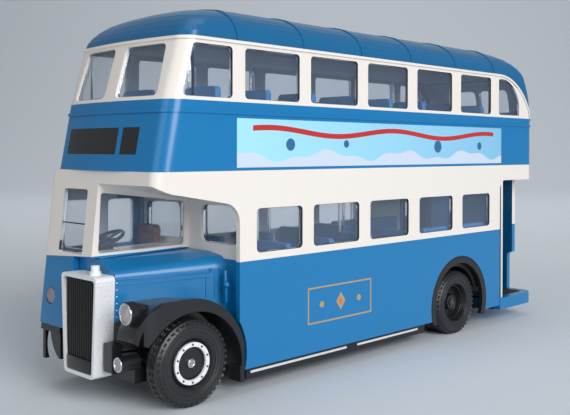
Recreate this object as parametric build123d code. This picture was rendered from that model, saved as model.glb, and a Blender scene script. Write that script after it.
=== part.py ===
"""Scale model of a half-cab double decker bus with an open rear platform.

Millimetres. X across (nearside +X), front towards -Y, Z up from the wheels' foot.
"""
import os
from math import cos, pi, sin

from build123d import *

os.makedirs("parts", exist_ok=True)

# Overall sizes of the model
LENGTH = 160.0
WIDTH = 44.0
HEIGHT = 91.0
HALF = WIDTH / 2
RIB = 0.3
ROOF_RIB = 0.2
REAR = LENGTH / 2 - RIB
FRONT = -LENGTH / 2

# Stations along, offsets across and levels are given for a model 160 long, 44 wide and 91 high
RUN = LENGTH / 160.0
SPAN = WIDTH / 44.0
RISE = HEIGHT / 91.0

# Levels
SKIRT = 5.8 * RISE
LOWER_SILL = 32.5 * RISE
LOWER_HEAD = 42.9 * RISE
DECK_JOIN = 51.8 * RISE
BEAD = 65.0 * RISE
WAIST = 67.5 * RISE
UPPER_SILL = 68.3 * RISE
UPPER_HEAD = 80.0 * RISE
GUTTER = 81.5 * RISE

# Walls and fits
UPPER_WALL = 1.3
LOWER_WALL = 1.8
GAP = 0.3
SLIP = 0.12
SEAT_GAP = 0.1
PANE = 0.8
PANE_SET = 0.55

# Upper deck front and rear
FRONT_FOOT = -75.4 * RUN
FRONT_WAIST = -72.5 * RUN
FRONT_HEAD = -68.6 * RUN
FRONT_BOW = 1.9
REAR_HEAD = 75.4 * RUN
FRONT_SEAM = -64.4 * RUN
REAR_SEAM = 71.0 * RUN
ROOF_SEAM = 58.0 * RUN

# Lower deck
BULKHEAD = -50.2 * RUN
BULKHEAD_WALL = 1.8
SIDE_FRONT = BULKHEAD - 1.7
CORNER = 4.0
FRONT_CORNER = 2.2
ENTRANCE_FRONT = 58.2 * RUN
ENTRANCE_TOP = 46.8 * RISE
REAR_WALL_EDGE = 14.6 * SPAN
REAR_WALL_FOOT_EDGE = 12.6 * SPAN
REAR_WALL_STEP = 21.0 * RISE

# Cab, canopy and bonnet
CAB_FOOT = 15.2 * RISE
CAB_FRONT_FOOT = -78.65 * RUN
CAB_FRONT_HEAD = -74.8 * RUN
CAB_NEAR = 0.2
CAB_NEAR_FOOT = -7.8 * SPAN
CAB_WALL = 1.3
CAB_SHELF = 0.8
CANOPY_FRONT = 48.8 * RISE
CANOPY_REAR = 44.2 * RISE
CANOPY_SKIN = 1.3
BONNET_FRONT = -75.3 * RUN
BONNET_OFF = CAB_NEAR_FOOT + GAP
BONNET_FOOT = 12.0 * RISE
BONNET_TOP_FRONT = 31.7 * RISE
BONNET_TOP_REAR = 32.2 * RISE
BONNET_WALL = 1.2

# Wheels
WHEEL_R = 9.55
TYRE_BORE = 6.3
FRONT_AXLE = -64.05 * RUN
REAR_AXLE = 35.65 * RUN
AXLE_R = 1.0
AXLE_RUN = 0.06
FRONT_TYRE = 4.6
REAR_TYRE = 4.5
TWIN_GAP = 0.5
FRONT_FACE = HALF - 1.0
REAR_FACE = HALF - 1.3
ARCH_R = WHEEL_R + 4.75
ARCH_LIP = 1.9
WHEEL_WELL = REAR_FACE - 2 * REAR_TYRE - TWIN_GAP - 0.8

# Floors
LOWER_FLOOR = 13.0 * RISE
LOWER_FLOOR_T = 1.2
UPPER_FLOOR_T = 1.2
CHASSIS_FOOT = 6.0 * RISE
CHASSIS_T = 1.6
RAIL_FOOT = 2.7 * RISE
PLATFORM_TOP = 8.0 * RISE
PLATFORM_FOOT = 4.3 * RISE
FAR = 30.0


def runs(*values):
    """Stations along the model."""
    return tuple(value * RUN for value in values)


def spans(*values):
    """Offsets across the model."""
    return tuple(value * SPAN for value in values)


def block(x0, x1, y0, y1, z0, z1):
    """Rectangular block between two corners."""
    return Pos(x0, y0, z0) * Box(x1 - x0, y1 - y0, z1 - z0, align=(Align.MIN, Align.MIN, Align.MIN))


def slab(y0, y1, x0=-HALF - FAR, x1=HALF + FAR):
    """Tall slice of the whole model between two stations."""
    return block(x0, x1, y0, y1, -FAR, HEIGHT + FAR)


def along_x(face, x0, x1):
    """Side-view face (y, z) carried from x0 to x1."""
    return extrude(Plane.YZ.offset(x0) * face, x1 - x0)


def along_y(face, y0, y1):
    """Front-view face (x, z) carried from y0 to y1."""
    return extrude(Plane.XZ.offset(-y1) * face, y1 - y0)


def along_z(face, z0, z1):
    """Plan face (x, y) carried from z0 to z1."""
    return extrude(Plane.XY.offset(z0) * face, z1 - z0)


def outline(points, radius=0.0, grow=0.0):
    """Closed polygon with rounded corners, grown or shrunk all round."""
    face = make_face(Polyline(*points, close=True))
    if grow:
        face = offset(face, grow, kind=Kind.INTERSECTION)
    if radius:
        face = fillet(face.vertices(), radius + grow)
    return face


def window(u0, u1, v0, v1, radius, grow=0.0):
    """Upright window with rounded corners."""
    points = [(u0, v0), (u1, v0), (u1, v1), (u0, v1)]
    return outline(points, radius, grow)


def rod_x(x0, x1, y, z, r):
    return Pos(x0, y, z) * Rot(0, 90, 0) * Cylinder(r, x1 - x0, align=(Align.CENTER, Align.CENTER, Align.MIN))


def rod_y(y0, y1, x, z, r):
    return Pos(x, y0, z) * Rot(-90, 0, 0) * Cylinder(r, y1 - y0, align=(Align.CENTER, Align.CENTER, Align.MIN))


def rod_z(z0, z1, x, y, r):
    return Pos(x, y, z0) * Cylinder(r, z1 - z0, align=(Align.CENTER, Align.CENTER, Align.MIN))


def save(shape, node):
    export_step(shape, "parts/" + node + ".step")


# Upper deck and roof, drawn as plan sections from the deck join to the crown
SWEEP_R = ((REAR - REAR_HEAD) ** 2 + (GUTTER - WAIST) ** 2) / (2 * (REAR - REAR_HEAD))


def rear_at(level):
    """Rear end of the deck, swept in above the waist."""
    rise = max(0.0, level - WAIST)
    return REAR - SWEEP_R + (SWEEP_R ** 2 - rise ** 2) ** 0.5


def front_at(level):
    """Middle of the front, steep at the band and raked at the windows."""
    if level < WAIST:
        return FRONT_FOOT + (FRONT_WAIST - FRONT_FOOT) * (level - DECK_JOIN) / (WAIST - DECK_JOIN)
    return FRONT_WAIST + (FRONT_HEAD - FRONT_WAIST) * (level - WAIST) / (GUTTER - WAIST)


WALL_STEPS = 5
WALL_LEVELS = [DECK_JOIN] + [WAIST + (GUTTER - WAIST) * i / WALL_STEPS for i in range(WALL_STEPS + 1)]
# level, half width, front middle, front bow, rear end, corner radius
WALL_SECTIONS = [(z, HALF, front_at(z), FRONT_BOW, rear_at(z), CORNER) for z in WALL_LEVELS]

# Roof: share of the rise, then how far the side, front and rear draw in, bow, corner radius
ROOF_TABLE = [
    (0.14, 0.2, 0.4, 1.0, 1.9, 4.2),
    (0.29, 0.7, 1.2, 2.3, 2.0, 4.8),
    (0.44, 1.6, 2.4, 4.0, 2.1, 5.6),
    (0.58, 2.9, 4.0, 6.0, 2.2, 6.6),
    (0.70, 4.6, 6.2, 8.7, 2.4, 7.6),
    (0.82, 7.0, 9.6, 12.6, 2.6, 8.6),
    (0.91, 10.4, 14.6, 18.4, 2.8, 8.4),
    (0.97, 14.5, 21.6, 25.9, 2.4, 5.6),
    (1.00, 18.6, 31.6, 36.4, 1.2, 2.4),
]
CROWN = HEIGHT - ROOF_RIB
ROOF_SECTIONS = [
    (GUTTER + share * (CROWN - GUTTER), HALF - side * SPAN, FRONT_HEAD + front * RUN, bow, REAR_HEAD - rear * RUN, corner * SPAN)
    for share, side, front, rear, bow, corner in ROOF_TABLE
]


def plan(half, front, bow, rear, corner):
    """Plan of the deck with a bowed front and round corners."""
    edges = [
        ThreePointArc((-half, front + bow), (0, front), (half, front + bow)),
        Line((half, front + bow), (half, rear)),
        Line((half, rear), (-half, rear)),
        Line((-half, rear), (-half, front + bow)),
    ]
    return fillet(make_face(Curve() + edges).vertices(), corner)


def deck(inset, sections, extra=0.0):
    """Block through the plan sections, drawn in from the outside by inset."""
    slices = []
    for level, half, front, bow, rear, corner in sections:
        drop = inset * max(0.0, level - GUTTER) / (CROWN - GUTTER)
        if level == DECK_JOIN:
            drop = extra
        face = plan(half - inset, front + inset, bow, rear - inset, corner - inset * 0.5)
        slices.append(Plane.XY.offset(level - drop) * face)
    return loft(slices, ruled=True)


def walls(inset, extra=0.0):
    return deck(inset, WALL_SECTIONS, extra)


def dome(inset):
    return deck(inset, WALL_SECTIONS[-1:] + ROOF_SECTIONS)


wall_outer = walls(0.0)
wall_inner = walls(UPPER_WALL, 1.0)

# Line where the roof meets the window panels, in side view
ROOF_FOOT = (REAR - 2.1, WAIST)
roof_line = [
    Line((FRONT - FAR, GUTTER), (ROOF_SEAM, GUTTER)),
    ThreePointArc((ROOF_SEAM, GUTTER), (ROOF_SEAM + 13.4 * RUN, GUTTER - 5.1 * RISE), ROOF_FOOT),
    Line(ROOF_FOOT, (REAR + FAR, WAIST)),
    Line((REAR + FAR, WAIST), (REAR + FAR, HEIGHT + FAR)),
    Line((REAR + FAR, HEIGHT + FAR), (FRONT - FAR, HEIGHT + FAR)),
    Line((FRONT - FAR, HEIGHT + FAR), (FRONT - FAR, GUTTER)),
]
GUTTER_BAND = 0.7
roof_side = make_face(Curve() + roof_line)
above = along_x(roof_side, -HALF - FAR, HALF + FAR)
gutter_band = along_x(offset(roof_side, GUTTER_BAND, kind=Kind.INTERSECTION), -HALF - FAR, HALF + FAR)

# Upper deck windows: front edge, rear edge
UPPER_BAYS = [runs(-50.4, -33.0), runs(-29.1, -11.6), runs(-7.5, 9.6), runs(14.0, 31.1), runs(35.8, 52.6)]
FRONT_BAY = runs(-68.0, -64.9, -54.1)
QUARTER = runs(57.3, 69.9)
QUARTER_SHOULDER = 72.4 * RISE
FRONT_PANE = spans(2.2, 17.2)
REAR_PANE = spans(0.8, 12.5)
REAR_PANE_SILL = 69.0 * RISE
REAR_PANE_HEAD = 78.0 * RISE


def quarter_light(grow=0.0):
    """Rear side light with a swept top."""
    y0, y1 = QUARTER
    z1 = QUARTER_SHOULDER
    y_turn = y0 + 2.0 * RUN
    edges = [
        Line((y0, UPPER_SILL), (y1, UPPER_SILL)),
        Line((y1, UPPER_SILL), (y1, z1)),
        ThreePointArc((y1, z1), (y1 - 3.3 * RUN, UPPER_HEAD - 2.6 * RISE), (y_turn, UPPER_HEAD)),
        Line((y_turn, UPPER_HEAD), (y0, UPPER_HEAD)),
        Line((y0, UPPER_HEAD), (y0, UPPER_SILL)),
    ]
    face = make_face(Curve() + edges)
    face = fillet(face.vertices().sort_by(Axis.X)[:2], 1.0)
    if grow:
        face = offset(face, grow, kind=Kind.INTERSECTION)
    return face


def upper_windows(grow=0.0):
    """Window openings of the upper deck and rear dome."""
    side = [window(y0, y1, UPPER_SILL, UPPER_HEAD, 1.0, grow) for y0, y1 in UPPER_BAYS]
    foot, head, rear = FRONT_BAY
    side.append(outline([(foot, UPPER_SILL), (rear, UPPER_SILL), (rear, UPPER_HEAD), (head, UPPER_HEAD)], 1.0, grow))
    side.append(quarter_light(grow))
    tools = [along_x(face, -HALF - 2, HALF + 2) for face in side]
    inner, outer = FRONT_PANE
    near = outline([(inner, UPPER_SILL), (outer, UPPER_SILL), (outer - 0.9, UPPER_HEAD), (inner, UPPER_HEAD)], 1.2, grow)
    near = along_y(near, FRONT - 2, FRONT_HEAD + 9)
    tools += [near, mirror(near, about=Plane.YZ)]
    inner, outer = REAR_PANE
    near = along_y(window(inner, outer, REAR_PANE_SILL, REAR_PANE_HEAD, 1.6, grow), REAR_HEAD - 10, REAR + 3)
    tools += [near, mirror(near, about=Plane.YZ)]
    return tools


upper_body = wall_outer - above
upper_body += walls(-RIB) & block(-HALF - 3, HALF + 3, FRONT - 3, REAR + 3, BEAD - 0.35, BEAD + 0.35)
upper_body += walls(-RIB) & (gutter_band - above)
upper_body -= wall_inner
for tool in upper_windows():
    upper_body = upper_body - tool
save(upper_body & slab(FRONT - FAR, FRONT_SEAM), "upper_front_panel")
save(upper_body & slab(FRONT_SEAM, REAR_SEAM, 0), "upper_nearside_panel")
save(upper_body & slab(FRONT_SEAM, REAR_SEAM, -HALF - FAR, 0), "upper_offside_panel")
save(upper_body & slab(REAR_SEAM, REAR + FAR), "upper_rear_panel")

# Roof and rear dome: shell with low cross ribs, swept down the rear
ROOF_STRIPS = runs(-52.2, -31.0, -9.5, 11.8, 33.4, 54.6)
STRIP_HALF = 0.6
shell = dome(0.0)
proud = dome(-ROOF_RIB)
for y in ROOF_STRIPS:
    shell = shell + (proud & slab(y - STRIP_HALF, y + STRIP_HALF))
shell = (shell - dome(UPPER_WALL)) + ((wall_outer & above) - wall_inner)
for tool in upper_windows()[-2:]:
    shell = shell - tool
save(shell & slab(FRONT - FAR, ROOF_SEAM), "roof")
save(shell & slab(ROOF_SEAM, REAR + FAR), "rear_dome")

# Clear inserts of the upper deck, with a pad filling each window
skin_in = walls(UPPER_WALL + SEAT_GAP + PANE, 1.0)
band = block(-HALF, HALF, FRONT, REAR, WAIST - 1.1, GUTTER - GAP)
upper_glazing = (walls(UPPER_WALL + SEAT_GAP) - skin_in) & band
pad_zone = (walls(PANE_SET) - skin_in) & band
for tool in upper_windows(-SLIP):
    upper_glazing = upper_glazing + (pad_zone & tool)
INSERTS = [
    ("upper_front_glazing", slab(FRONT - FAR, FRONT_SEAM)),
    ("upper_nearside_glazing", slab(FRONT_SEAM, REAR_SEAM, 0)),
    ("upper_offside_glazing", slab(FRONT_SEAM, REAR_SEAM, -HALF - FAR, 0)),
    ("upper_rear_glazing", slab(REAR_SEAM, REAR + FAR)),
]
for node, part in INSERTS:
    save(upper_glazing & part, node)

# Lower deck: saloon, cab and canopy, cut into panels that meet face to face
CAB_SLOPE = (CAB_FRONT_HEAD - CAB_FRONT_FOOT) / (DECK_JOIN - CAB_FOOT)


def cab_front(z):
    """Front face of the cab at a level."""
    return CAB_FRONT_FOOT + CAB_SLOPE * (z - CAB_FOOT)


def front_prism(inset, z0, z1):
    """Raked block across the whole front."""
    slices = []
    for z in (z0, z1):
        y0 = cab_front(z) + inset
        points = [(-HALF + inset, y0), (HALF - inset, y0), (HALF - inset, BULKHEAD + 4), (-HALF + inset, BULKHEAD + 4)]
        face = make_face(Polyline(*points, close=True))
        face = fillet(face.vertices().sort_by(Axis.Y)[:2], max(0.4, FRONT_CORNER - inset * 0.8))
        slices.append(Plane.XY.offset(z) * face)
    return loft(slices, ruled=True)


def saloon_plan(inset):
    points = [
        (-HALF + inset, BULKHEAD),
        (HALF - inset, BULKHEAD),
        (HALF - inset, REAR - inset),
        (-HALF + inset, REAR - inset),
    ]
    face = make_face(Polyline(*points, close=True))
    face = fillet(face.vertices().sort_by(Axis.Y)[2:], CORNER - inset * 0.8)
    return face


def bonnet_top(y):
    """Height of the bonnet's crown along its length."""
    share = (y - BONNET_FRONT) / (BULKHEAD - BONNET_FRONT)
    return BONNET_TOP_FRONT + share * (BONNET_TOP_REAR - BONNET_TOP_FRONT)


def canopy_line(y):
    """Height of the canopy's underside along its length."""
    share = (y - CAB_FRONT_HEAD) / (BULKHEAD - CAB_FRONT_HEAD)
    return CANOPY_FRONT + share * (CANOPY_REAR - CANOPY_FRONT)


def above_line(line, y1, lift, top):
    """Side-view face over a sloping line, from far ahead to y1."""
    y0 = FRONT - FAR
    return make_face(Polyline((y0, line(y0) + lift), (y1, line(y1) + lift), (y1, top), (y0, top), close=True))


front_outer = front_prism(0.0, CAB_FOOT, DECK_JOIN)
front_inner = front_prism(CAB_WALL, CAB_FOOT - 1, DECK_JOIN + 1)
y_far = FRONT - FAR
saloon_in = BULKHEAD + BULKHEAD_WALL
deck_top = DECK_JOIN + 2

# Space of the cab: wide above the bonnet, narrow beside it
over_bonnet = along_x(above_line(bonnet_top, BULKHEAD + 1, GAP, DECK_JOIN), -HALF - 1, CAB_NEAR)
over_bonnet_in = along_x(above_line(bonnet_top, BULKHEAD, GAP + CAB_SHELF, deck_top), -HALF, CAB_NEAR - CAB_WALL)
beside_bonnet = block(-HALF - 1, CAB_NEAR_FOOT, y_far, BULKHEAD + 1, CAB_FOOT - 2, DECK_JOIN)
beside_bonnet_in = block(-HALF, CAB_NEAR_FOOT - CAB_WALL, y_far, BULKHEAD, CAB_FOOT - 2, deck_top)
cab = front_outer & (over_bonnet + beside_bonnet)
cab_space = front_inner & (over_bonnet_in + beside_bonnet_in)

# Canopy over the bonnet, with a hanging nearside edge that turns down into the corner post
ARCH_FOOT = 40.0 * RISE
ARCH_HEAD = 44.5 * RISE
ARCH_START = SIDE_FRONT - 4.1
edge_top = CANOPY_FRONT + 0.1
edge_0, edge_1, edge_2 = runs(-75.0, -72.4, -68.5)
edge_low = CANOPY_FRONT - 2.1 * RISE
arch_edge = [
    Line((y_far, edge_top), (edge_0, edge_top)),
    ThreePointArc((edge_0, edge_top), (edge_1, CANOPY_FRONT - 1.2 * RISE), (edge_2, edge_low)),
    Line((edge_2, edge_low), (ARCH_START, ARCH_HEAD)),
    ThreePointArc((ARCH_START, ARCH_HEAD), (SIDE_FRONT - 1.2, ARCH_HEAD - 1.55), (SIDE_FRONT, ARCH_FOOT)),
    Line((SIDE_FRONT, ARCH_FOOT), (SIDE_FRONT, SKIRT)),
    Line((SIDE_FRONT, SKIRT), (BULKHEAD + 1, SKIRT)),
    Line((BULKHEAD + 1, SKIRT), (BULKHEAD + 1, DECK_JOIN)),
    Line((BULKHEAD + 1, DECK_JOIN), (y_far, DECK_JOIN)),
    Line((y_far, DECK_JOIN), (y_far, edge_top)),
]
canopy = front_outer & along_x(above_line(canopy_line, BULKHEAD + 1, 0.0, DECK_JOIN), CAB_NEAR, HALF + 1)
canopy_in = front_inner & along_x(above_line(canopy_line, BULKHEAD, CANOPY_SKIN, deck_top), CAB_NEAR, HALF)
side_edge = along_x(make_face(Curve() + arch_edge), HALF - CAB_WALL, HALF)
side_edge = side_edge & front_prism(0.0, SKIRT - 1, DECK_JOIN + 0.5)

saloon = along_z(saloon_plan(0.0), SKIRT, DECK_JOIN)
saloon_space = along_z(saloon_plan(LOWER_WALL), SKIRT - 1, DECK_JOIN + 1) & slab(saloon_in, REAR)
lower_body = saloon + cab + canopy
lower_body = lower_body - saloon_space - cab_space - canopy_in
lower_body = lower_body + side_edge

# Lower windows: front edge, rear edge
NEAR_BAYS = [runs(-46.8, -31.9), runs(-28.0, -10.9), runs(-6.4, 10.2), runs(15.2, 31.6), runs(36.8, 52.0)]
OFF_BAYS = NEAR_BAYS[:-1]
BULKHEAD_PANES = [spans(-18.5, -4.0), spans(5.3, 19.3)]
BULKHEAD_SILL = LOWER_SILL + 1.7
BULKHEAD_HEAD = LOWER_HEAD + 0.5
REAR_LIGHT = spans(-9.0, 8.0)
WINDSCREEN = spans(-14.7, -4.0) + (LOWER_SILL, 47.4 * RISE)
CAB_OFF_PANES = [runs(-71.5, -63.0), runs(-60.8, -53.4)]
CAB_SIDE_REAR = SIDE_FRONT + 0.4
CAB_SIDE = [
    (-75.2 * RUN, 33.0 * RISE), (CAB_SIDE_REAR, 33.2 * RISE), (CAB_SIDE_REAR, 43.9 * RISE), (-74.5 * RUN, 46.8 * RISE),
]


def lower_windows(grow=0.0):
    """Window openings of the saloon."""
    tools = [along_x(window(y0, y1, LOWER_SILL, LOWER_HEAD, 1.1, grow), HALF - 7, HALF + 2) for y0, y1 in NEAR_BAYS]
    tools += [along_x(window(y0, y1, LOWER_SILL, LOWER_HEAD, 1.1, grow), -HALF - 2, 7 - HALF) for y0, y1 in OFF_BAYS]
    for x0, x1 in BULKHEAD_PANES:
        face = window(x0, x1, BULKHEAD_SILL, BULKHEAD_HEAD, 2.0, grow)
        tools.append(along_y(face, BULKHEAD - 0.6, saloon_in + 2))
    x0, x1 = REAR_LIGHT
    tools.append(along_y(window(x0, x1, LOWER_SILL, LOWER_HEAD, 1.6, grow), REAR - 9, REAR + 2))
    return tools


def windscreen_opening(grow=0.0):
    x0, x1, z0, z1 = WINDSCREEN
    return along_y(window(x0, x1, z0, z1, 0.8, grow), FRONT - 2, FRONT + 14)


def cab_side_opening(grow=0.0):
    return along_x(outline(CAB_SIDE, 0.7, grow), CAB_NEAR - CAB_WALL - SEAT_GAP, CAB_NEAR + 0.5)


def cab_off_openings(grow=0.0):
    faces = [window(y0, y1, LOWER_SILL, LOWER_HEAD + 1.0, 1.1, grow) for y0, y1 in CAB_OFF_PANES]
    return [along_x(face, -HALF - 2, 7 - HALF) for face in faces]


for tool in lower_windows() + [windscreen_opening(), cab_side_opening()] + cab_off_openings():
    lower_body = lower_body - tool

# Open platform at the rear nearside corner
entrance = window(ENTRANCE_FRONT, REAR + 9, SKIRT - 9, ENTRANCE_TOP, 3.0)
lower_body = lower_body - along_x(entrance, REAR_WALL_EDGE, HALF + 2)
rear_foot = window(REAR_WALL_FOOT_EDGE, HALF + 9, SKIRT - 9, REAR_WALL_STEP, 1.6)
lower_body = lower_body - along_y(rear_foot, REAR - 6, REAR + 2)

# Wheel openings
for axle in (FRONT_AXLE, REAR_AXLE):
    for x0, x1 in ((-HALF - 1, 0.9 - WHEEL_WELL), (WHEEL_WELL - 0.9, HALF + 1)):
        lower_body = lower_body - rod_x(x0, x1, axle, WHEEL_R, ARCH_R)

# Offside lamp seat in the cab front, and a notch for the chassis spine
LAMP_X = 16.4 * SPAN
LAMP_Z = WHEEL_R + 12.35
LENS_R = 2.1
OFF_LENS_R = 1.9
LENS_SEAT = 0.7
SPINE_HALF = 5.5
SPINE_TOP = 9.0 * RISE
OFF_LAMP_Y = cab_front(LAMP_Z)
lower_body = lower_body - rod_y(OFF_LAMP_Y - 4, OFF_LAMP_Y + LENS_SEAT, -LAMP_X, LAMP_Z, OFF_LENS_R + SLIP)
notch = block(-SPINE_HALF - GAP, SPINE_HALF + GAP, BULKHEAD - 2, saloon_in + 2, 0, SPINE_TOP + GAP)
lower_body = lower_body - notch
TAIL_SEAM = REAR - LOWER_WALL
OFF_SEAM = CORNER - HALF
behind = slab(saloon_in, REAR + FAR)
rear_part = slab(TAIL_SEAM, REAR + FAR, OFF_SEAM)
save(lower_body & slab(FRONT - FAR, SIDE_FRONT, -HALF - FAR, CAB_NEAR), "cab_body")
save(lower_body & slab(FRONT - FAR, SIDE_FRONT, CAB_NEAR), "canopy")
save(lower_body & slab(SIDE_FRONT, saloon_in), "bulkhead")
save((lower_body & behind & slab(FRONT, REAR + FAR, 0)) - rear_part, "lower_nearside_panel")
save((lower_body & behind & slab(FRONT, REAR + FAR, -HALF - FAR, 0)) - rear_part, "lower_offside_panel")
save(lower_body & rear_part, "lower_rear_panel")

# Clear inserts of the saloon
gl_out = HALF - LOWER_WALL - SEAT_GAP
gl_in = gl_out - PANE
gl_z0 = LOWER_SILL - 1.2
gl_z1 = LOWER_HEAD + 2.0
gl_front = saloon_in + SEAT_GAP
gl_side = gl_front + PANE + GAP
gl_rear = ENTRANCE_FRONT - 2.8
near_pane = block(gl_in, gl_out, gl_side, gl_rear, gl_z0, gl_z1)
off_pane = block(-gl_out, -gl_in, gl_side, gl_rear, gl_z0, gl_z1)
front_pane = block(-gl_out, gl_out, gl_front, gl_front + PANE, gl_z0, gl_z1)
openings = lower_windows(-SLIP)
for tool in openings[:len(NEAR_BAYS)]:
    near_pane += tool & block(gl_in, HALF - PANE_SET, FRONT, REAR, 0, HEIGHT)
for tool in openings[len(NEAR_BAYS):-3]:
    off_pane += tool & block(PANE_SET - HALF, -gl_in, FRONT, REAR, 0, HEIGHT)
for tool in openings[-3:-1]:
    front_pane += tool & slab(BULKHEAD + PANE_SET, gl_front + PANE)
save(near_pane, "lower_nearside_glazing")
save(off_pane, "lower_offside_glazing")
save(front_pane, "bulkhead_glazing")
light_in = REAR - LOWER_WALL - SEAT_GAP
rear_light = block(REAR_LIGHT[0] - 1.5, REAR_LIGHT[1] + 1.5, light_in - PANE, light_in, gl_z0, gl_z1)
rear_light += openings[-1] & slab(light_in - PANE, REAR - PANE_SET)
save(rear_light, "rear_light")

# Clear inserts of the cab
cab_skin = front_prism(CAB_WALL + SEAT_GAP, LOWER_SILL - 2, deck_top)
cab_core = front_prism(CAB_WALL + SEAT_GAP + PANE, LOWER_SILL - 3, deck_top + 1)
near_x = CAB_NEAR - CAB_WALL - SEAT_GAP
head = WINDSCREEN[3] + 1.0
shelf = bonnet_top(BULKHEAD) + GAP + CAB_SHELF + SEAT_GAP
screen = (cab_skin - cab_core) & block(WINDSCREEN[0] - 2, near_x - PANE - GAP, y_far, FRONT + 14, shelf, head)
screen_pad = front_prism(PANE_SET, LOWER_SILL - 3, deck_top + 1) & windscreen_opening(-SLIP)
screen += (screen_pad - cab_core) & block(-HALF, HALF, y_far, BULKHEAD, shelf, HEIGHT)
screen += screen_pad - front_prism(CAB_WALL, LOWER_SILL - 3, deck_top + 1)
side_pane = cab_skin & block(near_x - PANE, near_x, y_far, BULKHEAD - SEAT_GAP, shelf, head)
side_pane += cab_side_opening(-SLIP) & block(near_x - PANE, CAB_NEAR - PANE_SET, y_far, BULKHEAD, 0, HEIGHT)
off_x = CAB_WALL + SEAT_GAP - HALF
off_side = block(off_x, off_x + PANE, FRONT + 7.0, BULKHEAD - SEAT_GAP, LOWER_SILL - 1, head - 2)
for tool in cab_off_openings(-SLIP):
    off_side += tool & block(PANE_SET - HALF, off_x + PANE, FRONT, BULKHEAD, 0, HEIGHT)
save(screen, "windscreen")
save(side_pane, "cab_nearside_glazing")
save(off_side, "cab_offside_glazing")

# Bonnet: tapered, cambered, open below; station, nearside, shoulder level, crown edge, crown level, shoulder radius
BONNET_SECTIONS = [
    (BONNET_FRONT, 7.6 * SPAN, BONNET_TOP_FRONT - 2.4, 1.0 * SPAN, BONNET_TOP_FRONT, 1.6),
    (BULKHEAD, 15.2 * SPAN, BONNET_TOP_REAR - 1.0, 8.0 * SPAN, BONNET_TOP_REAR, 3.2),
]


def bonnet_section(y, inset):
    front, rear = BONNET_SECTIONS
    share = (y - BONNET_FRONT) / (BULKHEAD - BONNET_FRONT)
    near, shoulder, edge, crown, radius = [a + share * (b - a) for a, b in zip(front[1:], rear[1:])]
    foot = BONNET_FOOT - abs(inset) * 2
    points = [
        (BONNET_OFF + inset, foot), (near - inset, foot), (near - inset, shoulder - inset),
        (edge - inset, crown - inset), (BONNET_OFF + inset, crown - inset),
    ]
    face = make_face(Polyline(*points, close=True))
    turn = face.vertices().sort_by_distance((near - inset, shoulder - inset, 0))[:1]
    return Plane.XZ.offset(-y) * fillet(turn, max(0.5, radius - inset * 0.8))


def bonnet_solid(inset, y0, y1):
    return loft([bonnet_section(y0, inset), bonnet_section(y1, inset)], ruled=True)


bonnet = bonnet_solid(0.0, BONNET_FRONT, BULKHEAD)
bonnet = bonnet - bonnet_solid(BONNET_WALL, BONNET_FRONT + BONNET_WALL, BULKHEAD - BONNET_WALL)
save(bonnet, "bonnet")

# Radiator: tapered shell with a recessed grille and filler cap
RAD_BACK = BONNET_FRONT
RAD_TOP = 28.7 * RISE
RAD_FOOT = 6.3 * RISE
RAD_TOP_HALF = 7.5 * SPAN
RAD_FOOT_HALF = 6.3 * SPAN
RAD_RIM = 0.8
RAD_RECESS = 1.4


def radiator_face(inset):
    points = [
        (-RAD_FOOT_HALF + inset, RAD_FOOT + inset), (RAD_FOOT_HALF - inset, RAD_FOOT + inset),
        (RAD_TOP_HALF - inset, RAD_TOP - inset), (-RAD_TOP_HALF + inset, RAD_TOP - inset),
    ]
    return outline(points, 1.1 - inset * 0.5)


radiator = along_y(radiator_face(0.0), FRONT, RAD_BACK)
radiator = radiator - along_y(radiator_face(RAD_RIM), FRONT - 1, FRONT + RAD_RECESS)
CAP_X = 3.0
CAP_Y = FRONT + 2.5
radiator += rod_z(RAD_TOP - 0.4, RAD_TOP + 0.8, CAP_X, CAP_Y, 1.25)
radiator += rod_z(RAD_TOP + 0.6, RAD_TOP + 2.1, CAP_X, CAP_Y, 0.95)
save(radiator, "radiator")

BAR_COUNT = 15
BAR_HALF = 0.16
GRILLE_BACK = 0.5
grille_zone = along_y(radiator_face(RAD_RIM + SLIP), FRONT + 0.5, FRONT + RAD_RECESS)
grille = grille_zone & slab(FRONT + RAD_RECESS - GRILLE_BACK, FRONT + RAD_RECESS)
bar_span = RAD_TOP_HALF - RAD_RIM - 1.0
for i in range(BAR_COUNT):
    x = bar_span * (2 * i / (BAR_COUNT - 1) - 1)
    grille = grille + (grille_zone & slab(FRONT, FRONT + RAD_RECESS, x - BAR_HALF, x + BAR_HALF))
save(grille, "grille")

# Nearside front wing: crowned sheet lower towards the bonnet, outer flange, lamp housing
WING_CENTRE = (-65.75 * RUN, WHEEL_R - 1.95)
WING_T = 1.2
WING_DROP = 0.09
WING_INNER = 8.0 * SPAN
WING_FOOT = 3.2 * RISE
# Crown line: station, height over the axle
WING_LINE = [(-50.1, -2.95), (-54.3, 9.45), (-66.0, 14.65), (-70.6, 14.65), (-76.0, 12.35), (-78.7, 6.85)]


def wing_point(y, z, shrink):
    return (WING_CENTRE[0] + (y - WING_CENTRE[0]) * shrink, WING_CENTRE[1] + (z - WING_CENTRE[1]) * shrink)


def wing_edges(shrink):
    """Crown line of the wing from its foot at the body to its nose."""
    points = [wing_point(y * RUN, WHEEL_R + z, shrink) for y, z in WING_LINE]
    foot, bend, crest, flat, brow, nose = points
    return foot, nose, [ThreePointArc(foot, bend, crest), Line(crest, flat), ThreePointArc(flat, brow, nose)]


def wing_face(shrink):
    """Section of the sheet, one thickness deep."""
    foot, nose, edges = wing_edges(shrink)
    foot_in, nose_in, edges_in = wing_edges(shrink - WING_T / 16.6)
    return make_face(Curve() + edges + [Line(nose, nose_in)] + edges_in + [Line(foot_in, foot)])


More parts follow.
